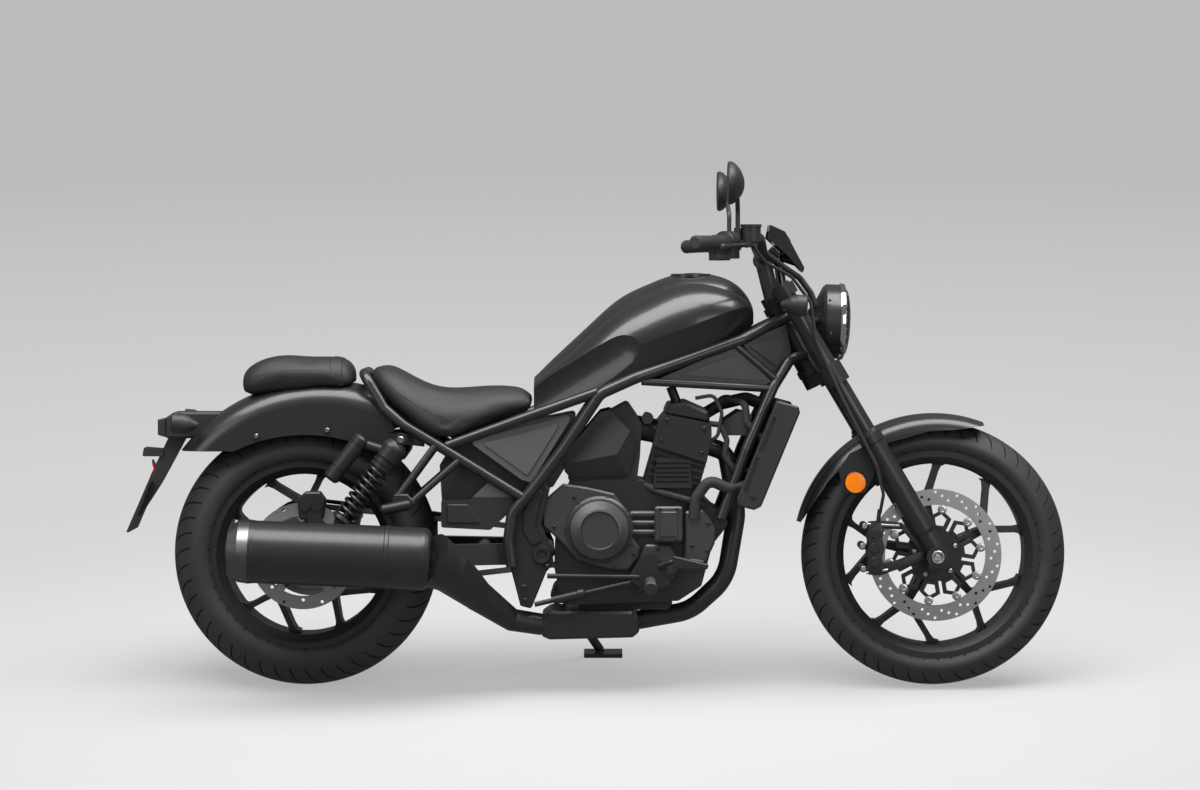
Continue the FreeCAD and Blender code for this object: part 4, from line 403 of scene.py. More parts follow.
# %% [markdown]
# ## Hands for modelling
#
# Most new pieces are turned or are small plates and bolts. They are drawn on the upright machine and then
# leaned with it: `leaned` bakes the lean and the object's own place into the mesh, so the finished object
# sits at the origin like the CAD's. `choose` selects faces by a test on their middle and normal, as a box
# select would by hand, and `wear` gives a piece its finish and the body it rides on. Edit mode starts in
# face select here, and what works on vertices or edges says so itself.

# %%
ACROSS = Matrix.Diagonal((1, -1, 1, 1))
bpy.context.tool_settings.mesh_select_mode = (False, False, True)


def leaned(piece):
    piece.data.transform(LEANED @ piece.matrix_basis)
    piece.matrix_basis = Matrix.Identity(4)
    return piece


def alone(piece):
    if bpy.context.mode != "OBJECT":
        bpy.ops.object.mode_set(mode="OBJECT")
    bpy.ops.object.select_all(action="DESELECT")
    piece.select_set(True)
    bpy.context.view_layer.objects.active = piece


def choose(piece, test):
    """Leaves exactly the faces selected that pass the test, in edit mode."""
    alone(piece)
    bpy.ops.object.mode_set(mode="EDIT")
    bpy.ops.mesh.select_mode(type="FACE")
    bpy.ops.mesh.select_all(action="DESELECT")
    mesh = bmesh.from_edit_mesh(piece.data)
    mesh.normal_update()
    for face in mesh.faces:
        face.select_set(test(face.calc_center_median(), face.normal))
    bmesh.update_edit_mesh(piece.data)


def wear(piece, material, body, angle=35):
    """Finish, smooth shading and the body that carries the piece."""
    bpy.ops.object.mode_set(mode="OBJECT")
    alone(piece)
    bpy.ops.object.shade_smooth_by_angle(angle=math.radians(angle))
    piece.data.materials.clear()
    piece.data.materials.append(material)
    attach(piece, body)


def applied(piece, kind, **settings):
    """Adds a modifier with its settings and applies it."""
    alone(piece)
    modifier = piece.modifiers.new(kind.lower(), kind)
    for key, value in settings.items():
        setattr(modifier, key, value)
    bpy.ops.object.modifier_apply(modifier=modifier.name)


def copied(piece, name, move):
    """Another of the same piece, with its own mesh, moved by a matrix."""
    other = piece.copy()
    other.data = piece.data.copy()
    other.name = name
    other.data.transform(move)
    bpy.context.scene.collection.objects.link(other)
    return other


def merged(pieces, name):
    """Several pieces as one object."""
    alone(pieces[0])
    for piece in pieces[1:]:
        piece.select_set(True)
    bpy.ops.object.join()
    pieces[0].name = name
    return pieces[0]


def both_sides(piece, name):
    """The piece and its mirror image on the other side, as one object."""
    other = copied(piece, name + "_far", ACROSS)
    other.data.flip_normals()
    return merged([piece, other], name)


print("hands ready")

# %% [markdown]
# ## A lathe
#
# Rims, lenses, caps and bars are all turned shapes. One vertex is drawn out along an outline beside the X
# axis and spun once round it. The first and last spun rows lie on each other, so doubles are merged before
# the normals are put right.

# %%
MERGE_DISTANCE = 0.00001


def drawn(name, points):
    """A chain of edges through the points, left in edit mode with all of it selected."""
    bpy.ops.object.select_all(action="DESELECT")
    bpy.ops.mesh.primitive_plane_add(size=0.01)
    piece = bpy.context.object
    piece.name = name
    bpy.ops.object.mode_set(mode="EDIT")
    bpy.ops.mesh.select_mode(type="VERT")
    bpy.ops.mesh.select_all(action="SELECT")
    bpy.ops.mesh.merge(type="CENTER")
    bpy.ops.transform.translate(value=points[0])
    for here, there in zip(points, points[1:]):
        bpy.ops.mesh.extrude_vertices_move(TRANSFORM_OT_translate={"value": there - here})
    bpy.ops.mesh.select_all(action="SELECT")
    return piece


def closed_up():
    """Turns every face of the piece being edited outwards and leaves edit mode."""
    bpy.ops.mesh.select_all(action="SELECT")
    bpy.ops.mesh.normals_make_consistent(inside=False)
    bpy.ops.object.mode_set(mode="OBJECT")


def lathe(name, outline, steps):
    """A turned piece along X from (distance, radius) points in millimetres."""
    piece = drawn(name, [Vector((d / 1000, 0, r / 1000)) for d, r in outline])
    bpy.ops.mesh.spin(steps=steps, angle=2 * math.pi, center=(0, 0, 0), axis=(1, 0, 0))
    bpy.ops.mesh.select_all(action="SELECT")
    bpy.ops.mesh.remove_doubles(threshold=MERGE_DISTANCE)
    closed_up()
    return piece


def aimed(start, toward):
    """The matrix that takes a turned piece to its start, in millimetres, along its own axis."""
    turn = Vector(toward).normalized().to_track_quat("X", "Z").to_matrix().to_4x4()
    return Matrix.Translation(Vector(start) / 1000) @ turn


def turned(name, outline, start, toward, steps=40):
    piece = lathe(name, outline, steps)
    piece.data.transform(aimed(start, toward))
    return piece


print("lathe ready")

# %% [markdown]
# ## Tyres with tread
#
# A road tyre's tread is a row of curved slanting grooves, repeated all the way round. One slice of the tyre
# is modelled, flat at first: a grid whose columns are laid on the tyre's section and whose rows are swept
# along the circle with the groove's slant. The faces of one narrow row are pushed into the rubber, between
# two distances from the middle, and the slice is then copied round the wheel. Grooving the slice before it
# is repeated means the cut is made once and every groove is the same.

# %%
CROWN_MARKS = (0, 5, 10, 16, 22, 28, 34, 40, 46, 52, 58)
SIDEWALL_MARKS = (0.2, 0.4, 0.6, 0.8, 1.0)
TREAD_ROWS = (0.0, 0.15, 0.3, 0.434, 0.446, 0.554, 0.566, 0.7, 0.85, 1.0)
GROOVE_ROW = 4
GROOVE_COLUMNS = (2, 10)
GROOVE_DEPTH = 0.0045
SLANT_COLUMNS = 11
SLANT_BEND = 1.7
SLICE_MERGE = 0.0002


def tyre_section(radius, width, crown_r, bead_r, rim_width):
    """Half of the tyre's outside from the middle of the tread to the bead, as (y, r) points."""
    crown = radius - crown_r
    half = width / 2
    points = []
    for mark in CROWN_MARKS:
        turn = math.radians(mark)
        points.append((min(half, crown_r * math.sin(turn)), crown + crown_r * math.cos(turn)))
    shoulder_y, shoulder_r = points[-1]
    low_y, low_r = half - 8, bead_r + 13
    for t in SIDEWALL_MARKS:
        y = (1 - t) ** 2 * shoulder_y + 2 * t * (1 - t) * (half + 8) + t * t * low_y
        points.append((y, shoulder_r + (low_r - shoulder_r) * t))
    for beside_rim, above_bead in ((2, 7), (2.4, 6), (1, 4), (-1, 1), (-9.0, 1)):
        points.append((rim_width / 2 + beside_rim, bead_r + above_bead))
    return points


def tread_slice(name, section, pitches, slant):
    """One pitch of the tyre: its outside skin with one groove on each side."""
    across = [(-y, r) for y, r in reversed(section)] + section[1:]
    count = len(across)
    bpy.ops.object.select_all(action="DESELECT")
    bpy.ops.mesh.primitive_grid_add(x_subdivisions=count - 1, y_subdivisions=len(TREAD_ROWS) - 1, size=2)
    piece = bpy.context.object
    piece.name = name
    step = 2 * math.pi / pitches
    for index, vertex in enumerate(piece.data.vertices):
        y, r = across[index % count]
        row = TREAD_ROWS[index // count]
        outward = abs(index % count - count // 2)
        bend = 1 - (1 - min(1.0, outward / SLANT_COLUMNS)) ** SLANT_BEND
        turn = step * (row + (slant * bend + (0.5 if y > 0 else 0.0)))
        vertex.co = Vector((r * math.sin(turn), y, r * math.cos(turn))) / 1000
    piece.data.flip_normals()
    edge_low, edge_high = (section[column][0] / 1000 for column in GROOVE_COLUMNS)
    alone(piece)
    bpy.ops.object.mode_set(mode="EDIT")
    bpy.ops.mesh.select_mode(type="FACE")
    bpy.ops.mesh.select_all(action="DESELECT")
    mesh = bmesh.from_edit_mesh(piece.data)
    for face in mesh.faces:
        outward = abs(face.calc_center_median().y)
        face.select_set(face.index // (count - 1) == GROOVE_ROW and edge_low < outward < edge_high)
    bmesh.update_edit_mesh(piece.data)
    bpy.ops.mesh.extrude_region_shrink_fatten(TRANSFORM_OT_shrink_fatten={"value": -GROOVE_DEPTH})
    bpy.ops.object.mode_set(mode="OBJECT")
    return piece


def whole_tyre(name, piece, pitches, centre, node, body):
    """The slice copied all the way round, its seams merged, leaned with the machine."""
    ring = [piece]
    for i in range(1, pitches):
        ring.append(copied(piece, name + str(i), Matrix.Rotation(2 * math.pi / pitches * i, 4, "Y")))
    tyre = merged(ring, name)
    bpy.ops.object.mode_set(mode="EDIT")
    bpy.ops.mesh.select_all(action="SELECT")
    bpy.ops.mesh.remove_doubles(threshold=SLICE_MERGE)
    bpy.ops.object.mode_set(mode="OBJECT")
    tyre.data.transform(Matrix.Translation(Vector(centre) / 1000))
    leaned(tyre)
    wear(tyre, tyre_rubber, body, 50)
    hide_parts(node)
    print(name, len(tyre.data.polygons), "faces")


front_section = tyre_section(FRONT_TYRE_R, 130.0, FRONT_CROWN_R, 243.0, 96.0)
front_slice = tread_slice("front_tyre_tread", front_section, 48, 1.25)
whole_tyre("front_tyre_tread", front_slice, 48, FRONT_AXLE, "front_tyre", "front_wheel")
rear_section = tyre_section(REAR_TYRE_R, 180.0, REAR_CROWN_R, 218.0, 140.0)
rear_slice = tread_slice("rear_tyre_tread", rear_section, 46, 1.45)
whole_tyre("rear_tyre_tread", rear_slice, 46, REAR_AXLE, "rear_tyre", "rear_wheel")

# %% [markdown]
# ## The seats
#
# A real seat is foam under a stretched cover, so it is crowned, its edges are round and its cover has
# seams. The CAD solid gives the right size and seating. A copy of it is remeshed into small even faces,
# blown up slightly by Cloth with the pressure on, and held to a small cap so that it keeps clear of frame
# and tank. The seams come afterwards, because a remesh would swallow them.

# %%
VOXEL = 0.0055
SHRINK = 0.002
PRESSURE = 3.0
SWELL_CAP = 0.006
CLOTH_FRAMES = 20
WELD_DISTANCE = 0.00005


def stuffed(name, node):
    """A padded piece from a CAD solid: remeshed, swollen by pressure and smoothed."""
    piece = nodes[node].copy()
    piece.data = nodes[node].data.copy()
    piece.name = name
    bpy.context.scene.collection.objects.link(piece)
    alone(piece)
    bpy.ops.object.mode_set(mode="EDIT")
    bpy.ops.mesh.select_all(action="SELECT")
    bpy.ops.mesh.remove_doubles(threshold=WELD_DISTANCE)
    closed_up()
    applied(piece, "REMESH", mode="VOXEL", voxel_size=VOXEL)
    for vertex in piece.data.vertices:
        vertex.co -= vertex.normal * SHRINK
    rest = [vertex.co.copy() for vertex in piece.data.vertices]
    cloth = piece.modifiers.new("cover", "CLOTH")
    cloth.settings.use_pressure = True
    cloth.settings.uniform_pressure_force = PRESSURE
    cloth.settings.effector_weights.gravity = 0.0
    cloth.settings.tension_stiffness = 30.0
    cloth.point_cache.frame_end = CLOTH_FRAMES
    for step in range(1, CLOTH_FRAMES + 1):
        bpy.context.scene.frame_set(step)
    bpy.ops.object.modifier_apply(modifier=cloth.name)
    bpy.context.scene.frame_set(1)
    for vertex, was in zip(piece.data.vertices, rest):
        moved = vertex.co - was
        if moved.length > SWELL_CAP:
            vertex.co = was + moved.normalized() * SWELL_CAP
    applied(piece, "SMOOTH", factor=0.5, iterations=6)
    wear(piece, seat_cover, "chassis", 60)
    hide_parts(node)
    print(name, len(piece.data.polygons), "faces")
    return piece


seat = stuffed("seat_cushion", "seat")
pillion = stuffed("pillion_cushion", "pillion_pad")

# %% [markdown]
# A seam shows as a thin cord of thread on the cover. Its line is drawn on the side of the upright machine,
# and each point is then cast sideways onto the cushion, so the cord lies on the cover wherever that is.

# %%
CAST_FROM = 300
CASTS_PER_STRETCH = 6
THREAD_CLEAR = 0.0001


def seam(name, cushion, route, thick):
    """A sewn line along a route of (x, z) points, cast onto both sides of a cushion."""
    back = LEANED.inverted()
    lines = []
    for side in (-1, 1):
        spots = []
        for (x0, z0), (x1, z1) in zip(route, route[1:]):
            for i in range(CASTS_PER_STRETCH):
                x = x0 + (x1 - x0) * i / CASTS_PER_STRETCH
                z = z0 + (z1 - z0) * i / CASTS_PER_STRETCH
                hit, place, normal, _ = cushion.ray_cast(spot(x, side * CAST_FROM, z), way(0, -side, 0))
                if hit:
                    spots.append(back @ (place + normal * THREAD_CLEAR))
        path = bpy.data.curves.new(name, "CURVE")
        path.dimensions = "3D"
        path.bevel_depth = thick / 1000
        path.bevel_resolution = 1
        line = path.splines.new("POLY")
        line.points.add(len(spots) - 1)
        for point, place in zip(line.points, spots):
            point.co = (place.x, place.y, place.z, 1.0)
        thing = bpy.data.objects.new(name + str(side), path)
        bpy.context.scene.collection.objects.link(thing)
        alone(thing)
        bpy.ops.object.convert(target="MESH")
        lines.append(bpy.context.object)
    cord = leaned(merged(lines, name))
    wear(cord, thread, "chassis", 60)


SEAT_ROUTE = [(179, 771), (186, 762), (199, 745), (220, 722), (251, 699), (292, 676), (328, 660), (362, 645)]
PILLION_ROUTE = [(-122, 748), (-90, 758), (-40, 766), (20, 768), (62, 764)]
seam("seat_seam", seat, SEAT_ROUTE, 0.9)
seam("pillion_side_seam", pillion, PILLION_ROUTE, 0.7)
print("seams sewn")

# %% [markdown]
# A strap crosses the pillion cushion. It is a band of the cover's own faces, lifted a little. Both cushions
# are then subdivided once, so that the small even faces no longer show.

# %%
STRAP_REAR = 64
STRAP_FRONT = 91
STRAP_ABOVE = 0.7
STRAP_LIFT = 0.0014


def under_strap(middle, _):
    place = LEANED.inverted() @ middle
    return STRAP_REAR < place.x * 1000 < STRAP_FRONT and place.z > STRAP_ABOVE


choose(pillion, under_strap)
bpy.ops.mesh.extrude_region_shrink_fatten(TRANSFORM_OT_shrink_fatten={"value": STRAP_LIFT})
bpy.ops.object.mode_set(mode="OBJECT")
for cushion in (seat, pillion):
    applied(cushion, "SUBSURF", levels=1, render_levels=1)
    bpy.ops.object.shade_smooth()
print("seat", len(seat.data.polygons), "faces")

# %% [markdown]
# ## The headlight
#
# A bright rim holds the clear cover. Behind the cover are a bowl and, round the bowl, a ring of small
# lamps. Rim, cover and bowl are turned on the lamp's own axis. The cover is a thin shell with two faces, so
# that light passes through it as through real glass.

# %%
LAMP_START = (1215, 0, 884)
LAMP_WAY = (1, 0, -0.03)
LAMP_COUNT = 24
LAMP_BLOCK = (0.004, 0.015, 0.009, 1)
LAMP_PLACE = (0.086, 0, 0.0775)
RIM = [(73, 88), (75, 92.5), (80, 93), (86, 91.5), (88, 88), (87, 85), (76, 84), (73, 88)]
COVER = [(85, 85), (89, 83.5), (94, 76), (98, 62), (101, 42), (102.6, 18), (103, 0), (100.6, 0), (99, 40),
         (95.8, 61), (92, 74), (87, 81.5), (85, 82)]
BOWL = [(84, 84), (82, 70), (80, 68), (72, 62), (60, 40), (56, 14), (56, 0), (54, 0), (54, 16), (58, 44),
        (70, 66), (76, 82), (84, 84)]
for name, outline, steps, material, angle in (("headlight_rim", RIM, 72, chrome, 35),
                                              ("headlight_cover", COVER, 72, clear_lens, 60),
                                              ("headlight_bowl", BOWL, 48, chrome, 60)):
    piece = turned(name, outline, LAMP_START, LAMP_WAY, steps)
    wear(leaned(piece), material, "steering", angle)
    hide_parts("headlight_lens")
blocks = []
for i in range(LAMP_COUNT):
    bpy.ops.object.select_all(action="DESELECT")
    bpy.ops.mesh.primitive_cube_add(size=1)
    block = bpy.context.object
    block.data.transform(Matrix.Diagonal(LAMP_BLOCK))
    block.data.transform(Matrix.Translation(LAMP_PLACE))
    block.data.transform(Matrix.Rotation(2 * math.pi / LAMP_COUNT * i, 4, "X"))
    blocks.append(block)
lamps = merged(blocks, "headlight_ring_lamps")
applied(lamps, "BEVEL", width=0.0012, segments=2)
lamps.data.transform(aimed(LAMP_START, LAMP_WAY))
wear(leaned(lamps), lamp_white, "steering")
print("headlight with", LAMP_COUNT, "small lamps")

# %% [markdown]
# ## Springs
#
# A coil is one small circle carried round and along by a Screw modifier. It replaces the CAD's ribbed
# sleeve, on the same line between the damper's two seats.

# %%
SHOCK_TOP = Vector((238, 151, 603))
SHOCK_LOW = Vector((78, 151, 380))
COIL_STARTS = 90.5
COIL_R = 0.0235
WIRE_R = 0.0044
COIL_PITCH = 0.0166
COIL_TURNS = 8
COIL_STEPS = 28


def coil(side):
    bpy.ops.object.select_all(action="DESELECT")
    bpy.ops.mesh.primitive_circle_add(vertices=10, radius=WIRE_R, location=(COIL_R, 0, 0),
                                      rotation=(math.pi / 2, 0, 0))
    piece = bpy.context.object
    bpy.ops.object.transform_apply(location=True, rotation=True, scale=True)
    applied(piece, "SCREW", axis="Z", screw_offset=COIL_PITCH, iterations=COIL_TURNS, steps=COIL_STEPS,
            render_steps=COIL_STEPS, use_normal_calculate=True)
    bpy.ops.object.mode_set(mode="EDIT")
    bpy.ops.mesh.select_all(action="DESELECT")
    bpy.ops.mesh.select_mode(type="EDGE")
    bpy.ops.mesh.select_non_manifold()
    bpy.ops.mesh.edge_face_add()
    closed_up()
    line = (SHOCK_LOW - SHOCK_TOP).normalized()
    start = SHOCK_TOP + line * COIL_STARTS
    turn = line.to_track_quat("Z", "X").to_matrix().to_4x4()
    piece.data.transform(Matrix.Translation(start / 1000) @ turn)
    if side < 0:
        piece.data.transform(ACROSS)
        piece.data.flip_normals()
    return piece


springs = merged([coil(1), coil(-1)], "coil_springs")
wear(leaned(springs), spring_black, "chassis", 60)
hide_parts("shock_springs")
print("springs", len(springs.data.polygons), "faces")

# %% [markdown]
# ## Bolts
#
# Almost every bolt here is a round head with a socket. The head is a cylinder whose rim is bevelled, and
# its top face is then inset and the inset pushed down for the socket. One is modelled, of size one, and
# every other is a copy, sized and aimed.

# %%
RIM_BEVEL = 0.07
SOCKET_INSET = 0.17
SOCKET_DEPTH = 0.24


def bolt_head():
    bpy.ops.object.select_all(action="DESELECT")
    bpy.ops.mesh.primitive_cylinder_add(vertices=12, radius=0.5, depth=0.5, location=(0, 0, 0.25))
    piece = bpy.context.object
    piece.name = "bolt"
    bpy.ops.object.transform_apply(location=True)
    choose(piece, lambda middle, normal: normal.z > 0.9)
    bpy.ops.mesh.bevel(offset=RIM_BEVEL, segments=1)
    choose(piece, lambda middle, normal: normal.z > 0.9 and middle.xy.length < 0.1)
    bpy.ops.mesh.inset(thickness=SOCKET_INSET)
    bpy.ops.mesh.extrude_region_move(TRANSFORM_OT_translate={"value": (0, 0, -SOCKET_DEPTH)})
    choose(piece, lambda middle, normal: normal.z < -0.9)
    bpy.ops.mesh.delete(type="FACE")
    bpy.ops.object.mode_set(mode="OBJECT")
    return piece


PLAIN_BOLT = bolt_head()


def bolts(name, places, material, body, toward=(0, -1, 0)):
    """A set of bolts at (x, y, z, diameter), all facing one way."""
    turn = Vector(toward).normalized().to_track_quat("Z", "X").to_matrix().to_4x4()
    made = []
    for i, (x, y, z, size) in enumerate(places):
        scale = Matrix.Diagonal((size / 1000, size / 1000, size / 1000, 1))
        move = Matrix.Translation((x / 1000, y / 1000, z / 1000)) @ turn @ scale
        made.append(copied(PLAIN_BOLT, name + str(i), move))
    wear(leaned(merged(made, name)), material, body, 30)


def circle(centre, radius, count, first):
    turns = [math.radians(first + 360.0 / count * i) for i in range(count)]
    return [(centre[0] + radius * math.cos(t), centre[1] + radius * math.sin(t)) for t in turns]


clutch = [(x, -135, z, 10) for x, z in circle((711, 387), 78, 7, 25)]
crank_bolts = [(650, -132, 464, 9), (602, -132, 393, 9), (793, -132, 327, 9), (748, -132, 295, 9),
               (932, -132, 348, 9), (930, -132, 414, 9), (970, -132, 400, 9), (968, -132, 336, 9),
               (812, -128, 262, 9), (884, -128, 270, 9), (850, -128, 340, 9), (856, -143, 436, 8),
               (896, -143, 436, 8), (856, -143, 364, 8), (896, -143, 364, 8)]
bolts("engine_bolts", clutch + crank_bolts, dark_steel, "chassis")
head_bolts = [(872, -126, 648, 10), (960, -126, 628, 10), (858, -126, 600, 9), (955, -126, 570, 9)]
bolts("head_bolts", head_bolts, dark_steel, "chassis")
far_bolts = [(x, 132, z, 9) for x, z in circle((858, 372), 84, 6, 20)]
bolts("generator_bolts", far_bolts, dark_steel, "chassis", (0, 1, 0))
frame_bolts = [(530, -146, 250, 12), (534, -146, 218, 11), (560, -146, 500, 12), (586, -146, 300, 11)]
bolts("plate_bolts", frame_bolts, dark_steel, "chassis")
bolts("fender_studs", [(-110, -119, 610, 11), (60, -119, 624, 11)], zinc, "chassis")
bolts("shock_bolts", [(238, -166, 603, 17), (78, -166, 380, 16)], zinc, "chassis")
front_hub = [(x, -71, z, 11) for x, z in circle((WHEELBASE, FRONT_AXLE_Z), 52, 5, 25.6)]
bolts("front_hub_bolts", front_hub, zinc, "front_wheel")
rear_hub = [(x, -111, z, 11) for x, z in circle((0, REAR_AXLE_Z), 58, 5, 17)]
bolts("rear_hub_bolts", rear_hub, zinc, "rear_wheel")
yoke_bolts = [(1106, y, 1048, 10) for y in (-60, -40, 40, 60)]
bolts("yoke_bolts", yoke_bolts, dark_steel, "steering", (0, 0, 1))
bolts("lamp_screws", [(1263, -88, 934, 7), (1265, -88, 854, 7)], dark_steel, "steering")
bpy.data.objects.remove(PLAIN_BOLT)

# %% [markdown]
# ## The front brake disc
#
# The CAD disc is a plain ring on thin arms. The real one is a wide drilled ring on a black lattice whose
# windows are five-sided. One window frame is modelled from a five-sided circle: its edges are extruded and
# scaled outwards, and the flat frame is then thickened. Nine copies round the axle make the lattice with
# it. The ring is turned, and its many small holes are cut by the material's Alpha, which costs no faces at
# all.

# %%
DISC_AT = (WHEELBASE, -64.0, FRONT_AXLE_Z)
DISC_HALF = 2.5
WINDOWS = 10
WINDOW_TURN = 360 // WINDOWS
WINDOW_R = 0.0152
WINDOW_REACH = 84
FRAME_THICK = 5
FRAME_SCALE = 1.8
FIRST_PIN = WINDOW_TURN * 0.27
HOLES_ROUND = 18
HOLE_R = 0.0036
HOLE_ROWS = ((0.152, 0.0), (0.1435, 0.33), (0.135, 0.66))


def hollow(inner, outer):
    """The outline of a flat ring as thick as the disc."""
    return [(-DISC_HALF, inner), (DISC_HALF, inner), (DISC_HALF, outer), (-DISC_HALF, outer),
            (-DISC_HALF, inner)]


def window_frame():
    """A flat five-sided frame whose point aims along X from the axle, laid at its distance from the axle."""
    bpy.ops.object.select_all(action="DESELECT")
    bpy.ops.mesh.primitive_circle_add(vertices=5, radius=WINDOW_R, fill_type="NOTHING")
    piece = bpy.context.object
    bpy.ops.object.mode_set(mode="EDIT")
    bpy.ops.mesh.select_mode(type="EDGE")
    bpy.ops.mesh.select_all(action="SELECT")
    bpy.ops.mesh.extrude_edges_move()
    bpy.ops.transform.resize(value=(FRAME_SCALE, FRAME_SCALE, 1.0))
    bpy.ops.mesh.select_all(action="SELECT")
    bpy.ops.mesh.extrude_region_move(TRANSFORM_OT_translate={"value": (0, 0, FRAME_THICK / 1000)})
    closed_up()
    applied(piece, "BEVEL", width=0.0008, segments=1)
    stand = Matrix.Rotation(math.pi / 2, 4, "X") @ Matrix.Rotation(-math.pi / 2, 4, "Z")
    piece.data.transform(Matrix.Translation((WINDOW_REACH / 1000, FRAME_THICK / 2000, 0)) @ stand)
    return piece


def drilled_steel():
    """Ground steel with three rows of small round holes, each row a little further round than the last."""
    shade = Shade("drilled disc steel", Metallic=1.0)
    forward, up, radius = shade.axle_radius(DISC_AT)
    angle = shade.node("ShaderNodeMath", {"operation": "ARCTAN2"}, {0: up, 1: forward})
    holes = 0.0
    for row, ahead in HOLE_ROWS:
        pitch = (angle * (HOLES_ROUND / (2 * math.pi)) + ahead).part()
        along = (pitch - 0.5) * radius * (2 * math.pi / HOLES_ROUND)
        beside = radius - row
        holes = holes + ((along * along + beside * beside) < HOLE_R ** 2)
    marks = shade.ground_marks(radius)
    shade.tint(marks, GROUND_DARK, GROUND_PALE)
    shade.feed("Roughness", 0.36 - 0.12 * marks)
    shade.feed("Alpha", 1.0 - holes)
    return shade.material


frames = [window_frame()]
for i in range(1, WINDOWS):
    turn = Matrix.Rotation(math.radians(WINDOW_TURN * i), 4, "Y")
    frames.append(copied(frames[0], "window" + str(i), turn))
lattice = merged(frames, "front_disc_carrier")
lattice.data.transform(Matrix.Rotation(-math.radians(FIRST_PIN), 4, "Y"))
lattice.data.transform(Matrix.Translation(Vector(DISC_AT) / 1000))
collar = turned("collar", hollow(30, 64), DISC_AT, (0, 1, 0), 60)
lattice = merged([lattice, collar], "front_disc_carrier")
wear(leaned(lattice), cast_black, "front_wheel", 30)
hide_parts("front_disc")
ring = turned("front_disc_ring", hollow(121, 159.4), DISC_AT, (0, 1, 0), 96)
wear(leaned(ring), drilled_steel(), "front_wheel", 30)
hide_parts("front_disc")
print("front disc", len(lattice.data.polygons) + len(ring.data.polygons), "faces")

# %% [markdown]
# ## The front caliper
#
# A flat part is one vertex carried round an outline, filled and extruded. The caliper is two such halves on
# either side of the disc, held by three bolts that pass outside it, with bars back to the fork's foot.

# %%
def flat_part(name, outline, near, far, soft=1.5):
    """A plate from (x, z) points on the upright machine, between two distances across, with soft edges."""
    piece = drawn(name, [Vector((x / 1000, near / 1000, z / 1000)) for x, z in outline])
    bpy.ops.mesh.edge_face_add()
    bpy.ops.mesh.extrude_region_move(TRANSFORM_OT_translate={"value": (0, (far - near) / 1000, 0)})
    closed_up()
    applied(piece, "BEVEL", width=soft / 1000, segments=2)
    return piece


def round_bar(name, start, end, radius, steps=20):
    """A round bar between two places of the upright machine, its ends a little bevelled."""
    line = Vector(end) - Vector(start)
    long = line.length
    outline = [(0, 0), (0, radius - 1), (1, radius), (long - 1, radius), (long, radius - 1), (long, 0)]
    return turned(name, outline, start, line, steps)


HALF = [(1357, 275), (1352, 290), (1357, 312), (1352, 334), (1357, 352), (1352, 376), (1359, 400),
        (1386, 402), (1395, 386), (1389, 362), (1396, 340), (1389, 316), (1396, 294), (1388, 274)]
BARS = {
    "caliper_top_bar": [(1380, 404), (1438, 400), (1438, 384), (1380, 386)],
    "caliper_link": [(1424, 400), (1440, 398), (1502, 336), (1488, 322)],
    "caliper_low_bar": [(1382, 272), (1380, 292), (1482, 332), (1496, 312)],
}
BRIDGE_BOLTS = ((1344, 290), (1342, 344), (1347, 392))
PISTON_CAPS = ((1373, 306), (1371, 340), (1374, 374))
parts = [flat_part("caliper_near", HALF, -72, -100, 3), flat_part("caliper_far", HALF, -56, -38, 3)]
parts += [flat_part(name, outline, -80, -94) for name, outline in BARS.items()]
for x, z in BRIDGE_BOLTS:
    parts.append(round_bar("bridge", (x, -96, z), (x, -38, z), 9))
for x, z in PISTON_CAPS:
    parts.append(round_bar("piston_cap", (x, -98, z), (x, -103, z), 12, 24))
parts.append(round_bar("hose_end", (1380, -84, 398), (1384, -84, 432), 5))
caliper = merged(parts, "front_caliper_parts")
wear(leaned(caliper), cast_black, "steering", 30)
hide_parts("front_caliper")
pins = [round_bar("caliper_pin", (x, -95, z), (x, -102, z), 6.5) for x, z in BRIDGE_BOLTS]
pins.append(round_bar("slide_pin", (1352, -96, 397), (1432, -96, 393), 4))
pins.append(round_bar("slide_pin", (1352, -96, 280), (1404, -96, 287), 4))
pins = merged(pins, "front_caliper_pins")
wear(leaned(pins), bright_steel, "steering", 30)
print("front caliper", len(caliper.data.polygons), "faces")

# %% [markdown]
# ## Disc buttons, axle ends and reflectors
#
# The brake ring floats on silver buttons at the end of the carrier's arms. The axle ends, the round orange
# reflectors, the red one at the rear and the ends of the grips are turned too.

# %%
TO_RIGHT = (0, -1, 0)


def buttons(name, centre, y, radius, count, first, body, size):
    """A ring of dished buttons of one size round a wheel's axle."""
    outline = [(-1, 0), (2.2, 0), (2.2, 0.42 * size), (3.8, 0.5 * size), (3.8, 0.86 * size), (3.0, size),
               (-1, size), (-1, 0)]
    made = []
    for i, (x, z) in enumerate(circle(centre, radius, count, first)):
        made.append(turned(name + str(i), outline, (x, y, z), TO_RIGHT, 18))
    wear(leaned(merged(made, name)), bright_steel, body, 30)


def axle_end(name, place, size, body):
    """The end of a hollow axle: a raised rim round a sunk middle with a small boss."""
    outline = [(0, 0), (4, 0), (4, 6), (2, 8), (2, size - 5), (5, size - 3.5), (5, size - 1.5), (3, size),
               (0, size), (0, 0)]
    wear(leaned(turned(name, outline, place, TO_RIGHT, 28)), bright_steel, body, 30)


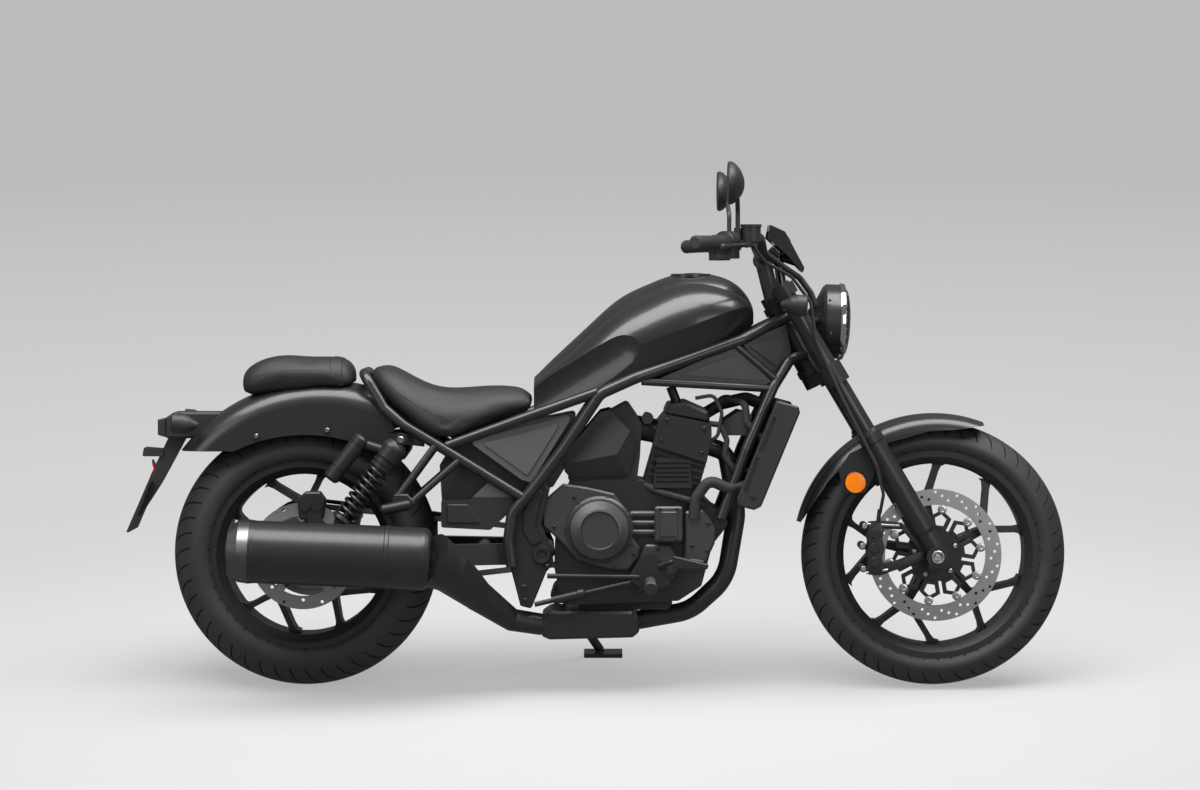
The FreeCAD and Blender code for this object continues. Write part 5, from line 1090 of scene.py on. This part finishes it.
buttons("front_disc_buttons", (WHEELBASE, FRONT_AXLE_Z), -66.5, 111, 10, FIRST_PIN, "front_wheel", 11)
buttons("rear_disc_buttons", (0, REAR_AXLE_Z), -106.5, 91, 5, 72 * 0.27, "rear_wheel", 9)
axle_end("front_axle_end", (WHEELBASE, -134, FRONT_AXLE_Z), 16, "steering")
axle_end("rear_axle_end", (0, -160, REAR_AXLE_Z), 17, "chassis")
SIDE_REFLECTOR = [(0, 0), (7, 0), (7.6, 20), (6.4, 24), (0, 25), (0, 0)]
REAR_REFLECTOR = [(0, 0), (5, 0), (5, 17), (4, 19), (0, 19), (0, 0)]
GRIP_END = [(-4, 0), (-4, 15.5), (3, 15.5), (6, 13), (6, 7), (3, 5.5), (3, 0), (-4, 0)]
reflector = turned("side_reflector", SIDE_REFLECTOR, (1326, -82.5, 496), TO_RIGHT)
wear(leaned(both_sides(reflector, "side_reflectors")), amber_reflector, "steering", 30)
rear_reflector = turned("rear_reflector", REAR_REFLECTOR, (-366, 0, 530), (-1, 0, -0.28), 6)
wear(leaned(rear_reflector), red_lens, "chassis", 30)
for side in (-1, 1):
    end = turned("grip_end" + str(side), GRIP_END, (936, side * 415, 1068), (-70, side * 125, -2), 28)
    wear(leaned(end), dark_steel, "steering", 30)
print("buttons, caps and reflectors are on")

# %% [markdown]
# ## The studio
#
# A pale floor has a large soft lamp overhead and two smaller ones on the camera's side. A black object is
# drawn by what it reflects, so the lamps are big and white and their reflections run along the tank, the
# fenders and the muffler. To reflected rays the floor is a dark grey, which keeps the undersides deep. To
# the camera it is part lit paper, which takes the shadow, and part plain tone that darkens with distance
# until it meets the room's own grey.

# %%
ROOM_TONE = 0.5
LIT_TONE = 0.82
REFLECTED_TONE = 0.16
FLOOR_SIZE = (30.0, 26.0, 1.0, 1.0)
PAPER_ENDS = (1.2, 2.8)
TONE_FADES = (0.5, 10.0)


def studio():
    bpy.ops.mesh.primitive_plane_add(size=1)
    floor = bpy.context.object
    floor.name = "studio_floor"
    floor.data.transform(Matrix.Diagonal(FLOOR_SIZE))
    bpy.ops.object.mode_set(mode="EDIT")
    bpy.ops.mesh.select_all(action="SELECT")
    bpy.ops.mesh.subdivide(number_cuts=5)
    bpy.ops.object.mode_set(mode="OBJECT")
    return floor


def studio_paper():
    """Lit paper near the machine and a plain grey gradient far from it."""
    shade = Shade("studio paper", Roughness=0.9)
    shade.tint(shade.noise(2.0), grey(0.5), grey(0.53))
    x, y, _ = shade.parts(shade.place())
    away = (x * x + y * y).root()
    far = shade.node("ShaderNodeMapRange", {"interpolation_type": "SMOOTHSTEP"},
                     {0: away, 1: PAPER_ENDS[0], 2: PAPER_ENDS[1]})
    fade = shade.node("ShaderNodeMapRange", {}, {0: away, 1: TONE_FADES[0], 2: TONE_FADES[1]}).root()
    tone = shade.between(fade, grey(LIT_TONE), grey(ROOM_TONE))
    glow = shade.node("ShaderNodeEmission", {}, {"Color": tone, "Strength": 1.0})
    dark = shade.node("ShaderNodeEmission", {}, {"Color": grey(REFLECTED_TONE), "Strength": 1.0})
    seen = shade.node("ShaderNodeLightPath", output="Is Camera Ray")
    glossy = shade.node("ShaderNodeLightPath", output="Is Glossy Ray")
    lit = Link(shade, shade.surface.outputs[0])
    paper = shade.node("ShaderNodeMixShader", {}, {0: glossy, 1: lit, 2: dark})
    mix = shade.node("ShaderNodeMixShader", {}, {0: (0.5 + 0.5 * far) * seen, 1: paper, 2: glow})
    shade.tree.links.new(mix.socket, shade.tree.nodes["Material Output"].inputs["Surface"])
    return shade.material


floor = studio()
floor.data.materials.append(studio_paper())
print("floor of", len(floor.data.polygons), "faces")

# %% [markdown]
# The lamps are rectangles aimed at the machine. The room itself is one pale tone that the camera sees as
# ROOM_TONE and that every other ray sees as a dark grey.

# %%
def lamp(name, place, aim, size, power):
    data = bpy.data.lights.new(name, "AREA")
    data.shape = "RECTANGLE"
    data.size, data.size_y = size
    data.energy = power
    thing = bpy.data.objects.new(name, data)
    bpy.context.scene.collection.objects.link(thing)
    thing.location = place
    thing.rotation_euler = (Vector(aim) - Vector(place)).to_track_quat("-Z", "Y").to_euler()


lamp("overhead", (0.2, -0.6, 4.0), (0, 0, 0.4), (7.0, 2.4), 400)
lamp("right front", (2.6, -4.2, 2.2), (0.2, 0, 0.6), (2.6, 2.2), 40)
lamp("left rear", (-3.4, -3.4, 2.4), (-0.2, 0, 0.5), (2.2, 2.2), 30)
world = bpy.data.worlds.new("pale room")
bpy.context.scene.world = world
world.use_nodes = True
tree = world.node_tree
background = tree.nodes["Background"]
background.inputs["Color"].default_value = (1.0, 1.0, 1.0, 1.0)
ray = tree.nodes.new("ShaderNodeLightPath")
strength = tree.nodes.new("ShaderNodeMapRange")
tree.links.new(ray.outputs["Is Camera Ray"], strength.inputs["Value"])
strength.inputs["To Min"].default_value = REFLECTED_TONE
strength.inputs["To Max"].default_value = ROOM_TONE
tree.links.new(strength.outputs[0], background.inputs["Strength"])
bpy.context.scene.view_settings.view_transform = "Standard"

# %% [markdown]
# ## The camera
#
# The photograph was taken from the right-hand side with a long lens, about as high as the tank. The camera
# is set in the upright machine's own coordinates and leaned with it, so that the machine stands upright in
# the picture.

# %%
CAMERA_PLACE = (0.712, -8.081, 0.973)
CAMERA_DOWN = math.radians(1.907)
camera_data = bpy.data.cameras.new("portrait")
camera_data.lens = 100.0
camera_data.sensor_width = 36.0
camera_data.sensor_fit = "HORIZONTAL"
camera_data.clip_end = 100.0
camera = bpy.data.objects.new("portrait", camera_data)
bpy.context.scene.collection.objects.link(camera)
upright_view = Matrix.Translation(CAMERA_PLACE) @ Matrix.Rotation(math.pi / 2 - CAMERA_DOWN, 4, "X")
camera.matrix_world = LEANED @ upright_view
bpy.context.scene.camera = camera
print("camera at", [round(v, 2) for v in camera.matrix_world.translation])
